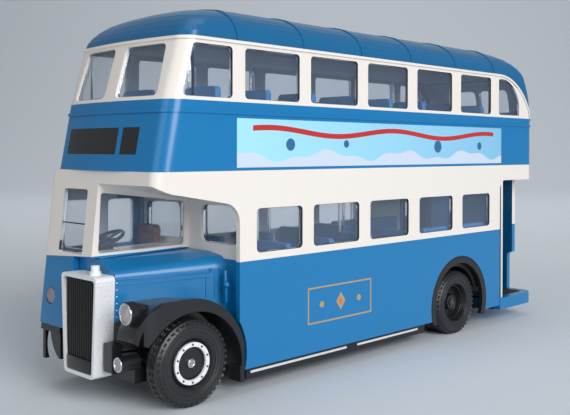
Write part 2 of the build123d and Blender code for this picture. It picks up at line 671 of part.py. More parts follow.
foot, nose, crown_edges = wing_edges(1.0)
LIP_FRONT = (-75.9 * RUN, WHEEL_R + 5.65)
LIP_TOP = (-64.3 * RUN, WHEEL_R + 11.65)
LIP_REAR = (-51.3 * RUN, WHEEL_R - 2.95)
flange_edges = crown_edges + [
    Line(nose, LIP_FRONT),
    ThreePointArc(LIP_FRONT, LIP_TOP, LIP_REAR),
    Line(LIP_REAR, foot),
]
sheet = loft([Plane.YZ.offset(WING_INNER) * wing_face(1.0 - WING_DROP), Plane.YZ.offset(HALF) * wing_face(1.0)], ruled=True)
sheet += along_x(make_face(Curve() + flange_edges), HALF - 1.1, HALF)
sheet += block(HALF - 4.0, HALF, foot[0] - 1.6, BULKHEAD - GAP, WING_FOOT, foot[1] + 0.4)
nose_x = 12.4 * SPAN
nose_y0, nose_y1 = runs(-76.5, -73.0)
wing_plan = make_face(Polyline(
    (nose_x, FRONT), (HALF, FRONT), (HALF, BULKHEAD - GAP), (WING_INNER + 0.2, BULKHEAD - GAP),
    (WING_INNER + 0.2, nose_y1), (nose_x, nose_y0), close=True))
wing_plan = fillet(wing_plan.vertices().group_by(Axis.Y)[0].sort_by(Axis.X)[-1:], 7.0)
nearside_wing = sheet & along_z(wing_plan, 0, 40)
LAMP_FRONT = -78.2 * RUN
LAMP_RIM = 0.5
BOWL_LENGTH = 5.4
bowl = Cone(LENS_R + LAMP_RIM, 1.3, BOWL_LENGTH - 1.6, align=(Align.CENTER, Align.CENTER, Align.MIN))
housing = rod_y(LAMP_FRONT, LAMP_FRONT + 1.6, LAMP_X, LAMP_Z, LENS_R + LAMP_RIM)
housing += Pos(LAMP_X, LAMP_FRONT + 1.6, LAMP_Z) * Rot(-90, 0, 0) * bowl
nearside_wing = nearside_wing + housing
nearside_wing = nearside_wing - rod_y(LAMP_FRONT - 1, LAMP_FRONT + LENS_SEAT, LAMP_X, LAMP_Z, LENS_R + SLIP)
nearside_wing = nearside_wing - bonnet_solid(-GAP, BONNET_FRONT - 6, BULKHEAD + 4)
save(nearside_wing, "nearside_wing")

# Offside wing: arch lip, edge strip and curved nose plate below the cab
ring_out = rod_x(-HALF, 1.2 - HALF, FRONT_AXLE, WHEEL_R, ARCH_R - SLIP)
ring_in = rod_x(-HALF - 1, 3 - HALF, FRONT_AXLE, WHEEL_R, ARCH_R - ARCH_LIP)
arch_ring = (ring_out - ring_in) & block(-HALF, 0, FRONT + 3, SIDE_FRONT, CHASSIS_FOOT, 40)
arch_ring = arch_ring - block(-HALF - 1, 0, FRONT_AXLE, BULKHEAD, 0, WHEEL_R + 1)
STRIP_DEPTH = 1.6
strip = front_prism(0.3, CAB_FOOT - STRIP_DEPTH, CAB_FOOT) - front_prism(1.5, CAB_FOOT - 3, CAB_FOOT + 1)
strip = strip & block(-HALF, -11.2 * SPAN, y_far, -70.5 * RUN, 0, 40)
strip = strip - rod_x(-HALF - 1, 0, FRONT_AXLE, WHEEL_R, ARCH_R + GAP)
plate_top = CAB_FOOT - 0.1
plate_out, plate_mid, plate_low, plate_in = spans(-15.9, -14.8, -12.1, -11.2)
nose_edges = [
    Line((plate_out, plate_top), (plate_in, plate_top)),
    Line((plate_in, plate_top), (plate_in, 7.6 * RISE)),
    Line((plate_in, 7.6 * RISE), (plate_low, 7.7 * RISE)),
    ThreePointArc((plate_low, 7.7 * RISE), (plate_mid, 10.4 * RISE), (plate_out, plate_top)),
]
nose_plate = along_y(make_face(Curve() + nose_edges), cab_front(CAB_FOOT) + 0.4, cab_front(CAB_FOOT) + 1.4)
save(arch_ring + (strip + nose_plate), "offside_wing")

# Rear arch lips, one each side
rear_lips = Part()
for x0 in (-HALF, HALF - 1.2):
    ring_out = rod_x(x0, x0 + 1.2, REAR_AXLE, WHEEL_R, ARCH_R - SLIP)
    ring_in = rod_x(x0 - 1, x0 + 3, REAR_AXLE, WHEEL_R, ARCH_R - ARCH_LIP)
    rear_lips = rear_lips + ((ring_out - ring_in) & block(-HALF, HALF, 0, REAR, RAIL_FOOT + 2, 40))
save(rear_lips, "rear_arch_lips")


# Lamps: lens discs with a domed face
def lens(x, y, z, r):
    ball = r * 1.6
    depth = (ball ** 2 - r ** 2) ** 0.5
    face = (Pos(x, y + 0.05 + depth, z) * Sphere(ball)) & rod_y(y - r, y + 0.1, x, z, r)
    return rod_y(y + 0.05, y + LENS_SEAT, x, z, r) + face


save(lens(LAMP_X, LAMP_FRONT, LAMP_Z, LENS_R), "nearside_headlamp")
save(lens(-LAMP_X, OFF_LAMP_Y, LAMP_Z, OFF_LENS_R), "offside_headlamp")

# Chassis: base plate, side rails, axle bearings, dumb irons, fog lamp body
ch_half = HALF - LOWER_WALL - GAP
ch_top = CHASSIS_FOOT + CHASSIS_T
ch_front = saloon_in + GAP
RAIL_T = 1.6
SCREW_HOLES = runs(-39.0, 53.0)
SCREW_R = 1.25
FOG_X = 13.5 * SPAN
FOG_Z = 10.7 * RISE
FOG_R = 1.3
FOG_FRONT = -78.2 * RUN
chassis = block(-ch_half, ch_half, ch_front, ENTRANCE_FRONT - 1.0, CHASSIS_FOOT, ch_top)
chassis += block(-8.0, 8.0, SCREW_HOLES[0] - 5, SCREW_HOLES[0] + 5, ch_top - 1, LOWER_FLOOR)
for y in SCREW_HOLES:
    chassis += block(-4.0, 4.0, y - 3.0, y + 3.0, CHASSIS_FOOT - 1.4, CHASSIS_FOOT)
nose_back, nose_end = runs(-71.5, -74.5)
chassis += block(-SPINE_HALF, SPINE_HALF, nose_end, ch_front + 1, CHASSIS_FOOT, SPINE_TOP)
for x0 in (-ch_half, ch_half - RAIL_T):
    chassis += block(x0, x0 + RAIL_T, ch_front, REAR_AXLE - ARCH_R - 0.85, RAIL_FOOT, CHASSIS_FOOT)
for x0 in (-5.0, 3.4):
    chassis += block(x0, x0 + RAIL_T, nose_back + 1.5, ENTRANCE_FRONT - 2.2, CHASSIS_FOOT - 1.4, CHASSIS_FOOT)
chassis += block(-5.2, 5.2, FRONT_AXLE - 4, FRONT_AXLE + 4, CHASSIS_FOOT, WHEEL_R + 2)
well = WHEEL_WELL - 1.0
chassis += block(0.4 - well, well - 0.4, REAR_AXLE - 4, REAR_AXLE + 4, CHASSIS_FOOT, LOWER_FLOOR)
tank_x0, tank_x1 = spans(8.4, 14.0)
tank_y0, tank_y1 = runs(-8.0, 14.0)
chassis += block(tank_x0, tank_x1, tank_y0, tank_y1, CHASSIS_FOOT - 2.4, CHASSIS_FOOT)
iron_y = -78.0 * RUN
iron_foot = 8.2 * RISE
for x0, x1 in (spans(-10.7, -7.3), spans(7.3, 10.7)):
    chassis += block(x0, x1, iron_y, BONNET_FRONT - GAP, iron_foot, BONNET_FOOT + 2.4)
    chassis += block(x0, x1, iron_y, nose_back, iron_foot, BONNET_FOOT - GAP)
bar_x0, bar_x1 = spans(-10.7, 14.0)
chassis += block(bar_x0, bar_x1, nose_end, nose_back, CHASSIS_FOOT, FOG_Z - 1.1)
chassis += rod_y(FOG_FRONT, nose_end + 0.9, FOG_X, FOG_Z, FOG_R + 0.35)
for x0, x1 in ((-HALF, -well), (well, HALF)):
    chassis -= block(x0, x1, REAR_AXLE - WHEEL_R - 2, REAR_AXLE + WHEEL_R + 2, 0, 30)
for axle in (FRONT_AXLE, REAR_AXLE):
    chassis -= rod_x(-HALF, HALF, axle, WHEEL_R, AXLE_R + AXLE_RUN)
for y in SCREW_HOLES:
    chassis -= rod_z(0, LOWER_FLOOR - 2.0, 0, y, SCREW_R)
chassis -= rod_y(FOG_FRONT - 0.5, FOG_FRONT + 0.5, FOG_X, FOG_Z, FOG_R + SLIP)
save(chassis, "chassis")
save(rod_y(FOG_FRONT - 0.1, FOG_FRONT + 0.5, FOG_X, FOG_Z, FOG_R), "fog_lamp")


# Seats
def bench(x0, x1, y, floor, cushion, top):
    """Double seat facing forward: pedestal, cushion, back with a round top."""
    seat = block(x0 + 1.0, x1 - 1.0, y - 5.5, y - 0.5, floor, cushion - 1.8)
    seat += block(x0, x1, y - 7.0, y, cushion - 2.0, cushion)
    face = window(x0, x1, cushion - 2.0, top, 1.2)
    return seat + along_y(face, y - 0.6, y + 1.0)


SEAT_IN = 5.6 * SPAN
SEAT_OUT = 18.2 * SPAN
up_floor_top = DECK_JOIN + UPPER_FLOOR_T
UP_CUSHION = 61.0 * RISE
UP_SEAT_TOP = 71.2 * RISE
UP_ROWS = runs(-56.0, -40.6, -25.2, -9.8, 5.6, 21.0, 36.4)
UP_SINGLE = 51.8 * RUN
floor_in = UPPER_WALL + 0.2
floor_plan = plan(HALF - floor_in, FRONT_FOOT + floor_in + 0.6, FRONT_BOW, REAR - floor_in, 3.0)
upper_floor = along_z(floor_plan, DECK_JOIN, up_floor_top)
upper_seats = Part()
for y in UP_ROWS:
    upper_seats += bench(SEAT_IN, SEAT_OUT, y, up_floor_top, UP_CUSHION, UP_SEAT_TOP)
    upper_seats += bench(-SEAT_OUT, -SEAT_IN, y, up_floor_top, UP_CUSHION, UP_SEAT_TOP)
upper_seats += bench(SEAT_IN, SEAT_OUT, UP_SINGLE, up_floor_top, UP_CUSHION, UP_SEAT_TOP)
back_x0, back_x1 = spans(-6.0, 17.5)
upper_seats += block(back_x0, back_x1, REAR - 13.7, REAR - 6.7, up_floor_top, UP_CUSHION)
upper_seats += block(back_x0, back_x1, REAR - 7.7, REAR - 5.7, up_floor_top, UP_SEAT_TOP - 1.5)
STAIR_X = spans(-19.6, -8.6)
STAIR_Y = runs(47.0, 77.0)
stairwell = block(STAIR_X[0], STAIR_X[1] + 0.6, STAIR_Y[0] - 0.6, STAIR_Y[1] + 0.6, DECK_JOIN - 1, up_floor_top + 1)
save(upper_floor - stairwell, "upper_floor")
save(upper_seats, "upper_seats")

lo_floor_top = LOWER_FLOOR + LOWER_FLOOR_T
LO_CUSHION = 23.0 * RISE
LO_SEAT_TOP = 33.4 * RISE
LO_ROWS = runs(-34.0, -18.6, -3.2, 12.2)
BENCH_Y = runs(20.0, 51.5)
lo_half = HALF - LOWER_WALL - GAP
lo_rear = ENTRANCE_FRONT - 1.2
PARTITION_T = 1.4
lower_floor = block(-lo_half, lo_half, saloon_in + 1.2, lo_rear, LOWER_FLOOR, lo_floor_top)
lower_seats = Part()
for y in LO_ROWS:
    lower_seats += bench(SEAT_IN, SEAT_OUT, y, lo_floor_top, LO_CUSHION, LO_SEAT_TOP)
    lower_seats += bench(-SEAT_OUT, -SEAT_IN, y, lo_floor_top, LO_CUSHION, LO_SEAT_TOP)
for side in (-1, 1):
    x0, x1 = sorted((side * 10.5 * SPAN, side * lo_half))
    lower_seats += block(x0, x1, BENCH_Y[0], BENCH_Y[1], lo_floor_top, LO_CUSHION)
    x0, x1 = sorted((side * (SEAT_OUT - 1.2), side * (SEAT_OUT + 0.6)))
    lower_seats += block(x0, x1, BENCH_Y[0], BENCH_Y[1], LO_CUSHION - 0.2, LO_SEAT_TOP)
for x0, x1 in ((WHEEL_WELL, HALF), (-HALF, -WHEEL_WELL)):
    wheel_box = rod_x(x0, x1, REAR_AXLE, WHEEL_R, WHEEL_R + 1.6)
    lower_floor -= wheel_box
    lower_seats -= wheel_box
save(lower_floor, "lower_floor")
save(lower_seats, "lower_seats")

# Partition between saloon and platform, with a doorway at the aisle
PARTITION_TOP = 46.0 * RISE
partition = block(5.0, lo_half, lo_rear - PARTITION_T, lo_rear, lo_floor_top, PARTITION_TOP)
partition += block(-7.6, -5.0, lo_rear - PARTITION_T, lo_rear, lo_floor_top, PARTITION_TOP)
save(partition, "saloon_partition")

# Staircase from the platform to the upper deck
STEPS = 8
stair_foot = PLATFORM_TOP + 0.6
rise = (DECK_JOIN - 1.0 - stair_foot) / STEPS
run = (STAIR_Y[1] - STAIR_Y[0] - 9.0) / STEPS
staircase = block(STAIR_X[0], STAIR_X[1] + 4.0, STAIR_Y[1] - 9.0, STAIR_Y[1], stair_foot, stair_foot + rise)
for i in range(1, STEPS):
    y1 = STAIR_Y[1] - (i - 1) * run
    z1 = stair_foot + (i + 1) * rise
    staircase += block(STAIR_X[0], STAIR_X[1], y1 - run - 4.0, y1, max(stair_foot, z1 - rise * 2.0), z1)
head_z = DECK_JOIN - 0.8
stringer = make_face(Polyline(
    (STAIR_Y[1], stair_foot), (STAIR_Y[1], stair_foot + 25.4), (STAIR_Y[1] - 17.0, head_z),
    (STAIR_Y[1] - 19.4, head_z), (STAIR_Y[1] - 19.4, stair_foot + 19.4), (STAIR_Y[1] - 9.0, stair_foot), close=True))
staircase += along_x(stringer, STAIR_X[1] - 1.0, STAIR_X[1])
stair_zone = block(-HALF, 0, lo_rear + GAP, REAR - LOWER_WALL - GAP, 0, DECK_JOIN - GAP)
save(staircase & stair_zone, "staircase")

# Rear platform with an inset tread plate
TREAD_EDGE = 1.2
TREAD_DEPTH = 0.7
TREAD_PROUD = 0.1
plat_front = ENTRANCE_FRONT - 0.6
tread_front = ENTRANCE_FRONT + TREAD_EDGE
plat_in = along_z(saloon_plan(LOWER_WALL + GAP), PLATFORM_FOOT, PLATFORM_TOP) & slab(plat_front, REAR)
plat_out = along_z(saloon_plan(0.0), PLATFORM_FOOT, PLATFORM_TOP)
plat_out = plat_out & slab(ENTRANCE_FRONT + GAP, REAR, REAR_WALL_FOOT_EDGE + GAP)
tray = along_z(saloon_plan(LOWER_WALL + TREAD_EDGE - SLIP), PLATFORM_TOP - TREAD_DEPTH, PLATFORM_TOP + 2)
platform = (plat_in + plat_out) - (tray & slab(tread_front - SLIP, REAR))
save(platform, "platform")
tread = along_z(saloon_plan(LOWER_WALL + TREAD_EDGE), PLATFORM_TOP - TREAD_DEPTH, PLATFORM_TOP + TREAD_PROUD)
tread = tread & slab(tread_front, REAR)
TREAD_RIBS = 9
for i in range(TREAD_RIBS):
    x = (-6.0 + 24.0 * i / (TREAD_RIBS - 1)) * SPAN
    tread += block(x - 0.35, x + 0.35, tread_front + 1.2, REAR - 4.6, PLATFORM_TOP, PLATFORM_TOP + 0.35)
save(tread, "platform_tread")

# Poles
POLE_R = 0.45
PLATFORM_POLE_R = 0.6
platform_pole = rod_z(PLATFORM_TOP + TREAD_PROUD, DECK_JOIN - 0.6, HALF - 2.6, ENTRANCE_FRONT + 3.4, PLATFORM_POLE_R)
save(platform_pole, "platform_pole")
upper_poles = Part()
for i, y in enumerate(UP_ROWS[::2] + (UP_SINGLE,)):
    side = 1 if i % 2 == 0 else -1
    if y == UP_SINGLE:
        side = 1
    upper_poles += rod_z(UP_SEAT_TOP, HEIGHT - 3.0, side * (SEAT_IN + 0.8), y + 0.2, POLE_R)
save(upper_poles, "upper_poles")
lower_poles = Part()
for i, y in enumerate(LO_ROWS):
    side = 1 if i % 2 == 0 else -1
    lower_poles += rod_z(LO_SEAT_TOP, DECK_JOIN, side * (SEAT_IN + 0.8), y + 0.2, POLE_R)
save(lower_poles, "lower_poles")

# Cab floor with dash, driver's seat and steering wheel
CAB_FLOOR = 26.0 * RISE
cf_x0 = CAB_WALL + GAP - HALF
cf_x1 = CAB_NEAR_FOOT - CAB_WALL - GAP
dash_y0, dash_y1 = runs(-74.4, -71.0)
cab_floor = block(cf_x0, cf_x1, dash_y0, BULKHEAD - GAP, CAB_FLOOR - 1.2, CAB_FLOOR)
cab_floor += block(cf_x0, cf_x1, dash_y0, dash_y1, CAB_FLOOR - 0.2, LOWER_SILL - 1.5)
cab_floor = cab_floor & front_prism(CAB_WALL + GAP, CAB_FLOOR - 2, LOWER_SILL)
save(cab_floor, "cab_floor")
DRIVER_X = -14.0 * SPAN
seat_back = BULKHEAD - 1.4
driver_seat = block(DRIVER_X - 3.6, DRIVER_X + 3.6, seat_back - 7.0, seat_back, CAB_FLOOR, CAB_FLOOR + 3.6)
back_rest = window(DRIVER_X - 3.6, DRIVER_X + 3.6, CAB_FLOOR + 3.0, CAB_FLOOR + 11.4, 1.4)
driver_seat += along_y(back_rest, seat_back - 2.0, seat_back)
save(driver_seat, "driver_seat")
RIM_R = 4.0
RIM_T = 0.45
SIDES_OF_RIM = 8
wheel_place = Pos(DRIVER_X, -64.6 * RUN, CAB_FLOOR + 8.6) * Rot(24, 0, 0)
rim_points = [
    (RIM_R + RIM_T * cos(2 * pi * (i + 0.5) / SIDES_OF_RIM), RIM_T * sin(2 * pi * (i + 0.5) / SIDES_OF_RIM))
    for i in range(SIDES_OF_RIM)
]
rim_face = Plane.XZ * make_face(Polyline(*rim_points, close=True))
steering_wheel = wheel_place * revolve(rim_face, Axis.Z)
steering_wheel += wheel_place * Box(RIM_R * 2, 0.7, 0.5)
steering_wheel += wheel_place * Box(0.7, RIM_R * 2, 0.5)
column = wheel_place * (Pos(0, 0, -10.0) * Cylinder(0.5, 10.0, align=(Align.CENTER, Align.CENTER, Align.MIN)))
steering_wheel += column & block(-HALF, 0, y_far, 0, CAB_FLOOR, 60)
save(steering_wheel, "steering_wheel")


# Wheels
def turned(points, axle):
    """Ring turned about an axle from (x, radius) points."""
    return Pos(0, axle, WHEEL_R) * revolve(Plane.XY * make_face(Polyline(*points, close=True)), Axis.X)


def tyre(face, width, side, axle):
    """Rubber ring with round shoulders, sidewall ridge and two grooves."""
    groove = 0.35
    points = [
        (0.3, TYRE_BORE), (width - 0.3, TYRE_BORE), (width, TYRE_BORE + 1.0), (width, WHEEL_R - 1.2),
        (width - 0.7, WHEEL_R), (width * 0.66, WHEEL_R), (width * 0.63, WHEEL_R - groove), (width * 0.57, WHEEL_R - groove),
        (width * 0.54, WHEEL_R), (width * 0.46, WHEEL_R), (width * 0.43, WHEEL_R - groove),
        (width * 0.37, WHEEL_R - groove), (width * 0.34, WHEEL_R), (0.7, WHEEL_R), (0, WHEEL_R - 1.2), (0, TYRE_BORE + 1.0),
    ]
    return turned([(side * (face - x), r) for x, r in points], axle)


SIDES = [("nearside", 1), ("offside", -1)]
for name, side in SIDES:
    save(tyre(FRONT_FACE, FRONT_TYRE, side, FRONT_AXLE), "front_tyre_" + name)
    inner = FRONT_FACE - FRONT_TYRE + 0.3
    disc = [
        (inner, AXLE_R), (FRONT_FACE - 1.4, AXLE_R), (FRONT_FACE - 1.4, 3.3), (FRONT_FACE - 0.9, 3.6),
        (FRONT_FACE - 0.9, 4.7), (FRONT_FACE - 1.3, 5.0), (FRONT_FACE - 0.4, 5.7), (FRONT_FACE - 0.4, TYRE_BORE),
        (inner, TYRE_BORE),
    ]
    save(turned([(side * x, r) for x, r in disc], FRONT_AXLE), "front_hub_" + name)
    ring = [(FRONT_FACE - 0.9, 3.6), (FRONT_FACE - 0.9, 4.7), (FRONT_FACE - 0.5, 4.65), (FRONT_FACE - 0.5, 3.7)]
    save(turned([(side * x, r) for x, r in ring], FRONT_AXLE), "front_hub_ring_" + name)
    second = REAR_FACE - REAR_TYRE - TWIN_GAP
    twin = Part() + [tyre(REAR_FACE, REAR_TYRE, side, REAR_AXLE), tyre(second, REAR_TYRE, side, REAR_AXLE)]
    save(twin, "rear_tyres_" + name)
    back = second - REAR_TYRE + 0.3
    dish = [
        (back, AXLE_R), (REAR_FACE - 2.0, AXLE_R), (REAR_FACE - 2.0, 2.2), (REAR_FACE - 3.6, 2.6),
        (REAR_FACE - 3.6, 4.4), (REAR_FACE - 0.3, 5.7), (REAR_FACE - 0.3, TYRE_BORE), (back, TYRE_BORE),
    ]
    save(turned([(side * x, r) for x, r in dish], REAR_AXLE), "rear_hub_" + name)
save(rod_x(0.9 - FRONT_FACE, FRONT_FACE - 0.9, FRONT_AXLE, WHEEL_R, AXLE_R), "front_axle")
save(rod_x(1.6 - REAR_FACE, REAR_FACE - 1.6, REAR_AXLE, WHEEL_R, AXLE_R), "rear_axle")
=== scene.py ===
from math import atan2, cos, pi, radians, sin

import bpy
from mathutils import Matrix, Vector


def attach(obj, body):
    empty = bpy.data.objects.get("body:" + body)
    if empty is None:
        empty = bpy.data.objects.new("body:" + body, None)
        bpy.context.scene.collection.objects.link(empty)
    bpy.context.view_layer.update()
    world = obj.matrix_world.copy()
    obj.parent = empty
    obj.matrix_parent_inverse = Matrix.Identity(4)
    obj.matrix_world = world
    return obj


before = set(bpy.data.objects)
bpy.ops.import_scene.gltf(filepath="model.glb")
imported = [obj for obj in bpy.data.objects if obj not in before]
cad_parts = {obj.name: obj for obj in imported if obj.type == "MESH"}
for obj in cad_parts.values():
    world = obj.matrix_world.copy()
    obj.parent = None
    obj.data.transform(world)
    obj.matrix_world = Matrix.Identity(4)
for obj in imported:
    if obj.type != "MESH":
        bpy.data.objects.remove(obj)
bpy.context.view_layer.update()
bpy.ops.object.select_all(action="DESELECT")

# Sizes and places on the model are in millimetres, those of the studio in metres
MM = 0.001
FORWARD = (0, -1, 0)
NEARSIDE = (1, 0, 0)

# Colours
BLUE = (0.004, 0.190, 0.460, 1.0)
# Darker copy of the body blue, painted shade for the roof and the insides
SHADED_BLUE = (0.004, 0.130, 0.310, 1.0)
CREAM = (0.880, 0.820, 0.760, 1.0)
BLACK = (0.014, 0.014, 0.016, 1.0)
PALE_BLUE = (0.400, 0.800, 1.000, 1.0)
SKY_BLUE = (0.250, 0.560, 0.820, 1.0)
MIST = (0.640, 0.740, 0.880, 1.0)
RED = (0.560, 0.030, 0.030, 1.0)
SLATE = (0.030, 0.150, 0.330, 1.0)
GOLD = (0.480, 0.330, 0.130, 1.0)
ORANGE = (0.700, 0.180, 0.040, 1.0)
PALE_GREY = (0.500, 0.520, 0.550, 1.0)
SHADE = (0.030, 0.033, 0.040, 1.0)
SILVER = (0.96, 0.97, 0.99, 1.0)
DULL_SILVER = (0.66, 0.69, 0.74, 1.0)
SEAT_CLOTH = (0.010, 0.120, 0.310, 1.0)
CLEAR_TINT = (0.94, 0.96, 0.97, 1.0)
SHADOW_TINT = (0.90, 0.92, 0.93, 1.0)
HAZE_TINT = (0.42, 0.60, 0.90, 1.0)

# Surface: gloss of the lacquer, and scale, strength and depth of the grain
LACQUER_ROUGHNESS = 0.06
ENAMEL_SCALE = 900.0
ENAMEL_GRAIN = 0.02
PLAIN_SCALE = 1500.0
GRAIN_DEPTH = 0.0002

# How far a face looks out, from -1 inside to 1 outside, and half the length of the straight sides
OUTSIDE = 0.5
WINDOW_EDGE = 0.35
INSIDE = -0.35
STRAIGHT_HALF = 50.0

# Levels where blue meets cream
UPPER_LINE = 67.5
SALOON_LINE = 30.8
CAB_LINE = 32.4
CAB_SLOPE = 0.0667

# Wheels, and reach of the black painted shade in the rear arches
WHEEL_R = 9.55
FRONT_AXLE = -64.05
REAR_AXLE = 35.65
ARCH_R = 14.6
SEAT_ARCH_R = 15.4

# Open entrance: front edge, head and floor
ENTRANCE = 58.2
ENTRANCE_TOP = 46.7
PLATFORM_TOP = 8.0

# Bonnet: taper of its side, level of the black valance, middle and reach of the wing beside it
BONNET_NOSE = -75.3
BONNET_RUN = 25.1
BONNET_HALF = 7.6
BONNET_LINE = 18.5
WING_Y = -65.75
WING_Z = 7.6
WING_REACH = 14.3


class Coat:
    """Paint in coats: a base colour, then patches masked by place in millimetres."""

    def __init__(self, name, base, roughness=0.30, gloss=0.20):
        self.mat = bpy.data.materials.new(name)
        self.mat.use_nodes = True
        self.nodes = self.mat.node_tree.nodes
        self.links = self.mat.node_tree.links
        self.shader = self.nodes["Principled BSDF"]
        self.shader.inputs["Base Color"].default_value = base
        self.shader.inputs["Roughness"].default_value = roughness
        self.shader.inputs["Coat Weight"].default_value = gloss
        self.shader.inputs["Coat Roughness"].default_value = LACQUER_ROUGHNESS
        self.base = base
        self.colour = None
        self.out = None
        self.place = self.nodes.new("ShaderNodeTexCoord").outputs["Object"]
        scale = self.nodes.new("ShaderNodeVectorMath")
        scale.operation = "SCALE"
        scale.inputs["Scale"].default_value = 1.0 / MM
        self.links.new(self.place, scale.inputs[0])
        split = self.nodes.new("ShaderNodeSeparateXYZ")
        self.links.new(scale.outputs[0], split.inputs[0])
        self.x, self.y, self.z = split.outputs
        self.normal = self.nodes.new("ShaderNodeNewGeometry").outputs["True Normal"]

    def maths(self, operation, *values):
        """One sum on numbers or sockets."""
        node = self.nodes.new("ShaderNodeMath")
        node.operation = operation
        for socket, value in zip(node.inputs, values):
            if isinstance(value, (int, float)):
                socket.default_value = value
            else:
                self.links.new(value, socket)
        return node.outputs[0]

    def over(self, value, low):
        """Mask of what lies over a level."""
        return self.maths("GREATER_THAN", value, low)

    def under(self, value, high):
        """Mask of what lies under a level."""
        return self.maths("LESS_THAN", value, high)

    def both(self, *masks):
        """Where all the masks meet."""
        mask = masks[0]
        for other in masks[1:]:
            mask = self.maths("MULTIPLY", mask, other)
        return mask

    def between(self, value, low, high):
        """Mask of what lies between two levels."""
        return self.both(self.over(value, low), self.under(value, high))

    def away(self, value, centre):
        """Distance from a level, to either side."""
        return self.maths("ABSOLUTE", self.maths("SUBTRACT", value, centre))

    def reach(self, y, z):
        """Distance from a point on the side."""
        along = self.maths("POWER", self.away(self.y, y), 2.0)
        upright = self.maths("POWER", self.away(self.z, z), 2.0)
        return self.maths("SQRT", self.maths("ADD", along, upright))

    def noise(self, scale, detail=2.0):
        """Fine random pattern."""
        node = self.nodes.new("ShaderNodeTexNoise")
        node.inputs["Scale"].default_value = scale
        node.inputs["Detail"].default_value = detail
        self.links.new(self.place, node.inputs["Vector"])
        return node.outputs["Fac"]

    def lay(self, mask, colour):
        """Lays a colour where the mask is."""
        mix = self.nodes.new("ShaderNodeMix")
        mix.data_type = "RGBA"
        self.links.new(mask, mix.inputs[0])
        if self.colour is None:
            mix.inputs[6].default_value = self.base
        else:
            self.links.new(self.colour, mix.inputs[6])
        mix.inputs[7].default_value = colour
        self.colour = mix.outputs[2]
        self.links.new(self.colour, self.shader.inputs["Base Color"])

    def facing(self):
        """How far a face looks out of the model, from -1 inside to 1 outside."""
        straight = self.maths("MINIMUM", self.maths("MAXIMUM", self.y, -STRAIGHT_HALF), STRAIGHT_HALF)
        out = self.nodes.new("ShaderNodeCombineXYZ")
        self.links.new(self.x, out.inputs[0])
        self.links.new(self.maths("SUBTRACT", self.y, straight), out.inputs[1])
        unit = self.nodes.new("ShaderNodeVectorMath")
        unit.operation = "NORMALIZE"
        self.links.new(out.outputs[0], unit.inputs[0])
        dot = self.nodes.new("ShaderNodeVectorMath")
        dot.operation = "DOT_PRODUCT"
        self.links.new(unit.outputs[0], dot.inputs[0])
        self.links.new(self.normal, dot.inputs[1])
        return dot.outputs["Value"]

    def upward(self):
        """How far a face looks up, from -1 to 1."""
        split = self.nodes.new("ShaderNodeSeparateXYZ")
        self.links.new(self.normal, split.inputs[0])
        return split.outputs[2]

    def grain(self, scale, strength):
        """Finishes the paint with a fine grain."""
        bump = self.nodes.new("ShaderNodeBump")
        bump.inputs["Strength"].default_value = strength
        bump.inputs["Distance"].default_value = GRAIN_DEPTH
        self.links.new(self.noise(scale), bump.inputs["Height"])
        self.links.new(bump.outputs["Normal"], self.shader.inputs["Normal"])
        return self.mat

    def enamel(self):
        """Finishes the paint as smooth sprayed enamel."""
        return self.grain(ENAMEL_SCALE, ENAMEL_GRAIN)


def two_tone(name, line, slope=0.0, low=0.0, inside=BLUE, edges=None):
    """Blue below a line and cream above it, with the inside in a given colour and the window edges, when
    given, in a dark painted shade.
    """
    paint = Coat(name, BLUE)
    level = line
    if slope:
        rise = paint.maths("MULTIPLY", paint.x, slope)
        level = paint.maths("MAXIMUM", paint.maths("ADD", rise, line), low)
    above = paint.over(paint.z, level)
    paint.lay(above, CREAM)
    paint.out = paint.facing()
    # Edge faces above the line take the edge colour, a dark painted shade
    if edges:
        paint.lay(paint.both(above, paint.between(paint.out, INSIDE, WINDOW_EDGE)), edges)
    paint.lay(paint.under(paint.out, INSIDE), inside)
    return paint


def shade_wheel_arch(paint, reach):
    """Black painted shade inside a rear wheel arch."""
    paint.lay(paint.under(paint.reach(REAR_AXLE, WHEEL_R), reach), BLACK)


def plain(name, colour, roughness, metallic=0.0, grain=0.0):
    """One colour all over, without lacquer."""
    paint = Coat(name, colour, roughness, gloss=0.0)
    paint.shader.inputs["Metallic"].default_value = metallic
    return paint.grain(PLAIN_SCALE, grain) if grain else paint.mat


def clear_moulding(name, ior=1.45, haze=0.05):
    """Clear insert, faintly milky, that lets light in."""
    mat = plain(name, CLEAR_TINT, roughness=0.03)
    nodes, links = mat.node_tree.nodes, mat.node_tree.links
    shader = nodes["Principled BSDF"]
    shader.inputs["Transmission Weight"].default_value = 1.0
    shader.inputs["IOR"].default_value = ior
    veil = nodes.new("ShaderNodeBsdfTransparent")
    veil.inputs["Color"].default_value = SHADOW_TINT
    light = nodes.new("ShaderNodeLightPath")
    milk = nodes.new("ShaderNodeBsdfDiffuse")
    milk.inputs["Color"].default_value = HAZE_TINT
    milky = nodes.new("ShaderNodeMixShader")
    milky.inputs["Fac"].default_value = haze
    links.new(shader.outputs["BSDF"], milky.inputs[1])
    links.new(milk.outputs["BSDF"], milky.inputs[2])
    mix = nodes.new("ShaderNodeMixShader")
    links.new(light.outputs["Is Shadow Ray"], mix.inputs["Fac"])
    links.new(milky.outputs["Shader"], mix.inputs[1])
    links.new(veil.outputs["BSDF"], mix.inputs[2])
    links.new(mix.outputs["Shader"], nodes["Material Output"].inputs["Surface"])
    return mat


# Upper deck: plain sides, and black blinds on the front
BLINDS = [(-16.5, 6.1), (7.7, 13.5)]
BLIND_FOOT = 55.5
BLIND_HEAD = 61.5
BLIND_BACK = -60.0

upper_livery = two_tone("upper_livery", UPPER_LINE, inside=PALE_GREY, edges=SHADE).enamel()

front = two_tone("upper_front_livery", UPPER_LINE, inside=CREAM)
front_face = front.both(front.over(front.out, OUTSIDE), front.under(front.y, BLIND_BACK))
for left, right in BLINDS:
    blind = front.both(front.between(front.x, left, right), front.between(front.z, BLIND_FOOT, BLIND_HEAD))
    front.lay(front.both(front_face, blind), BLACK)
front_livery = front.enamel()

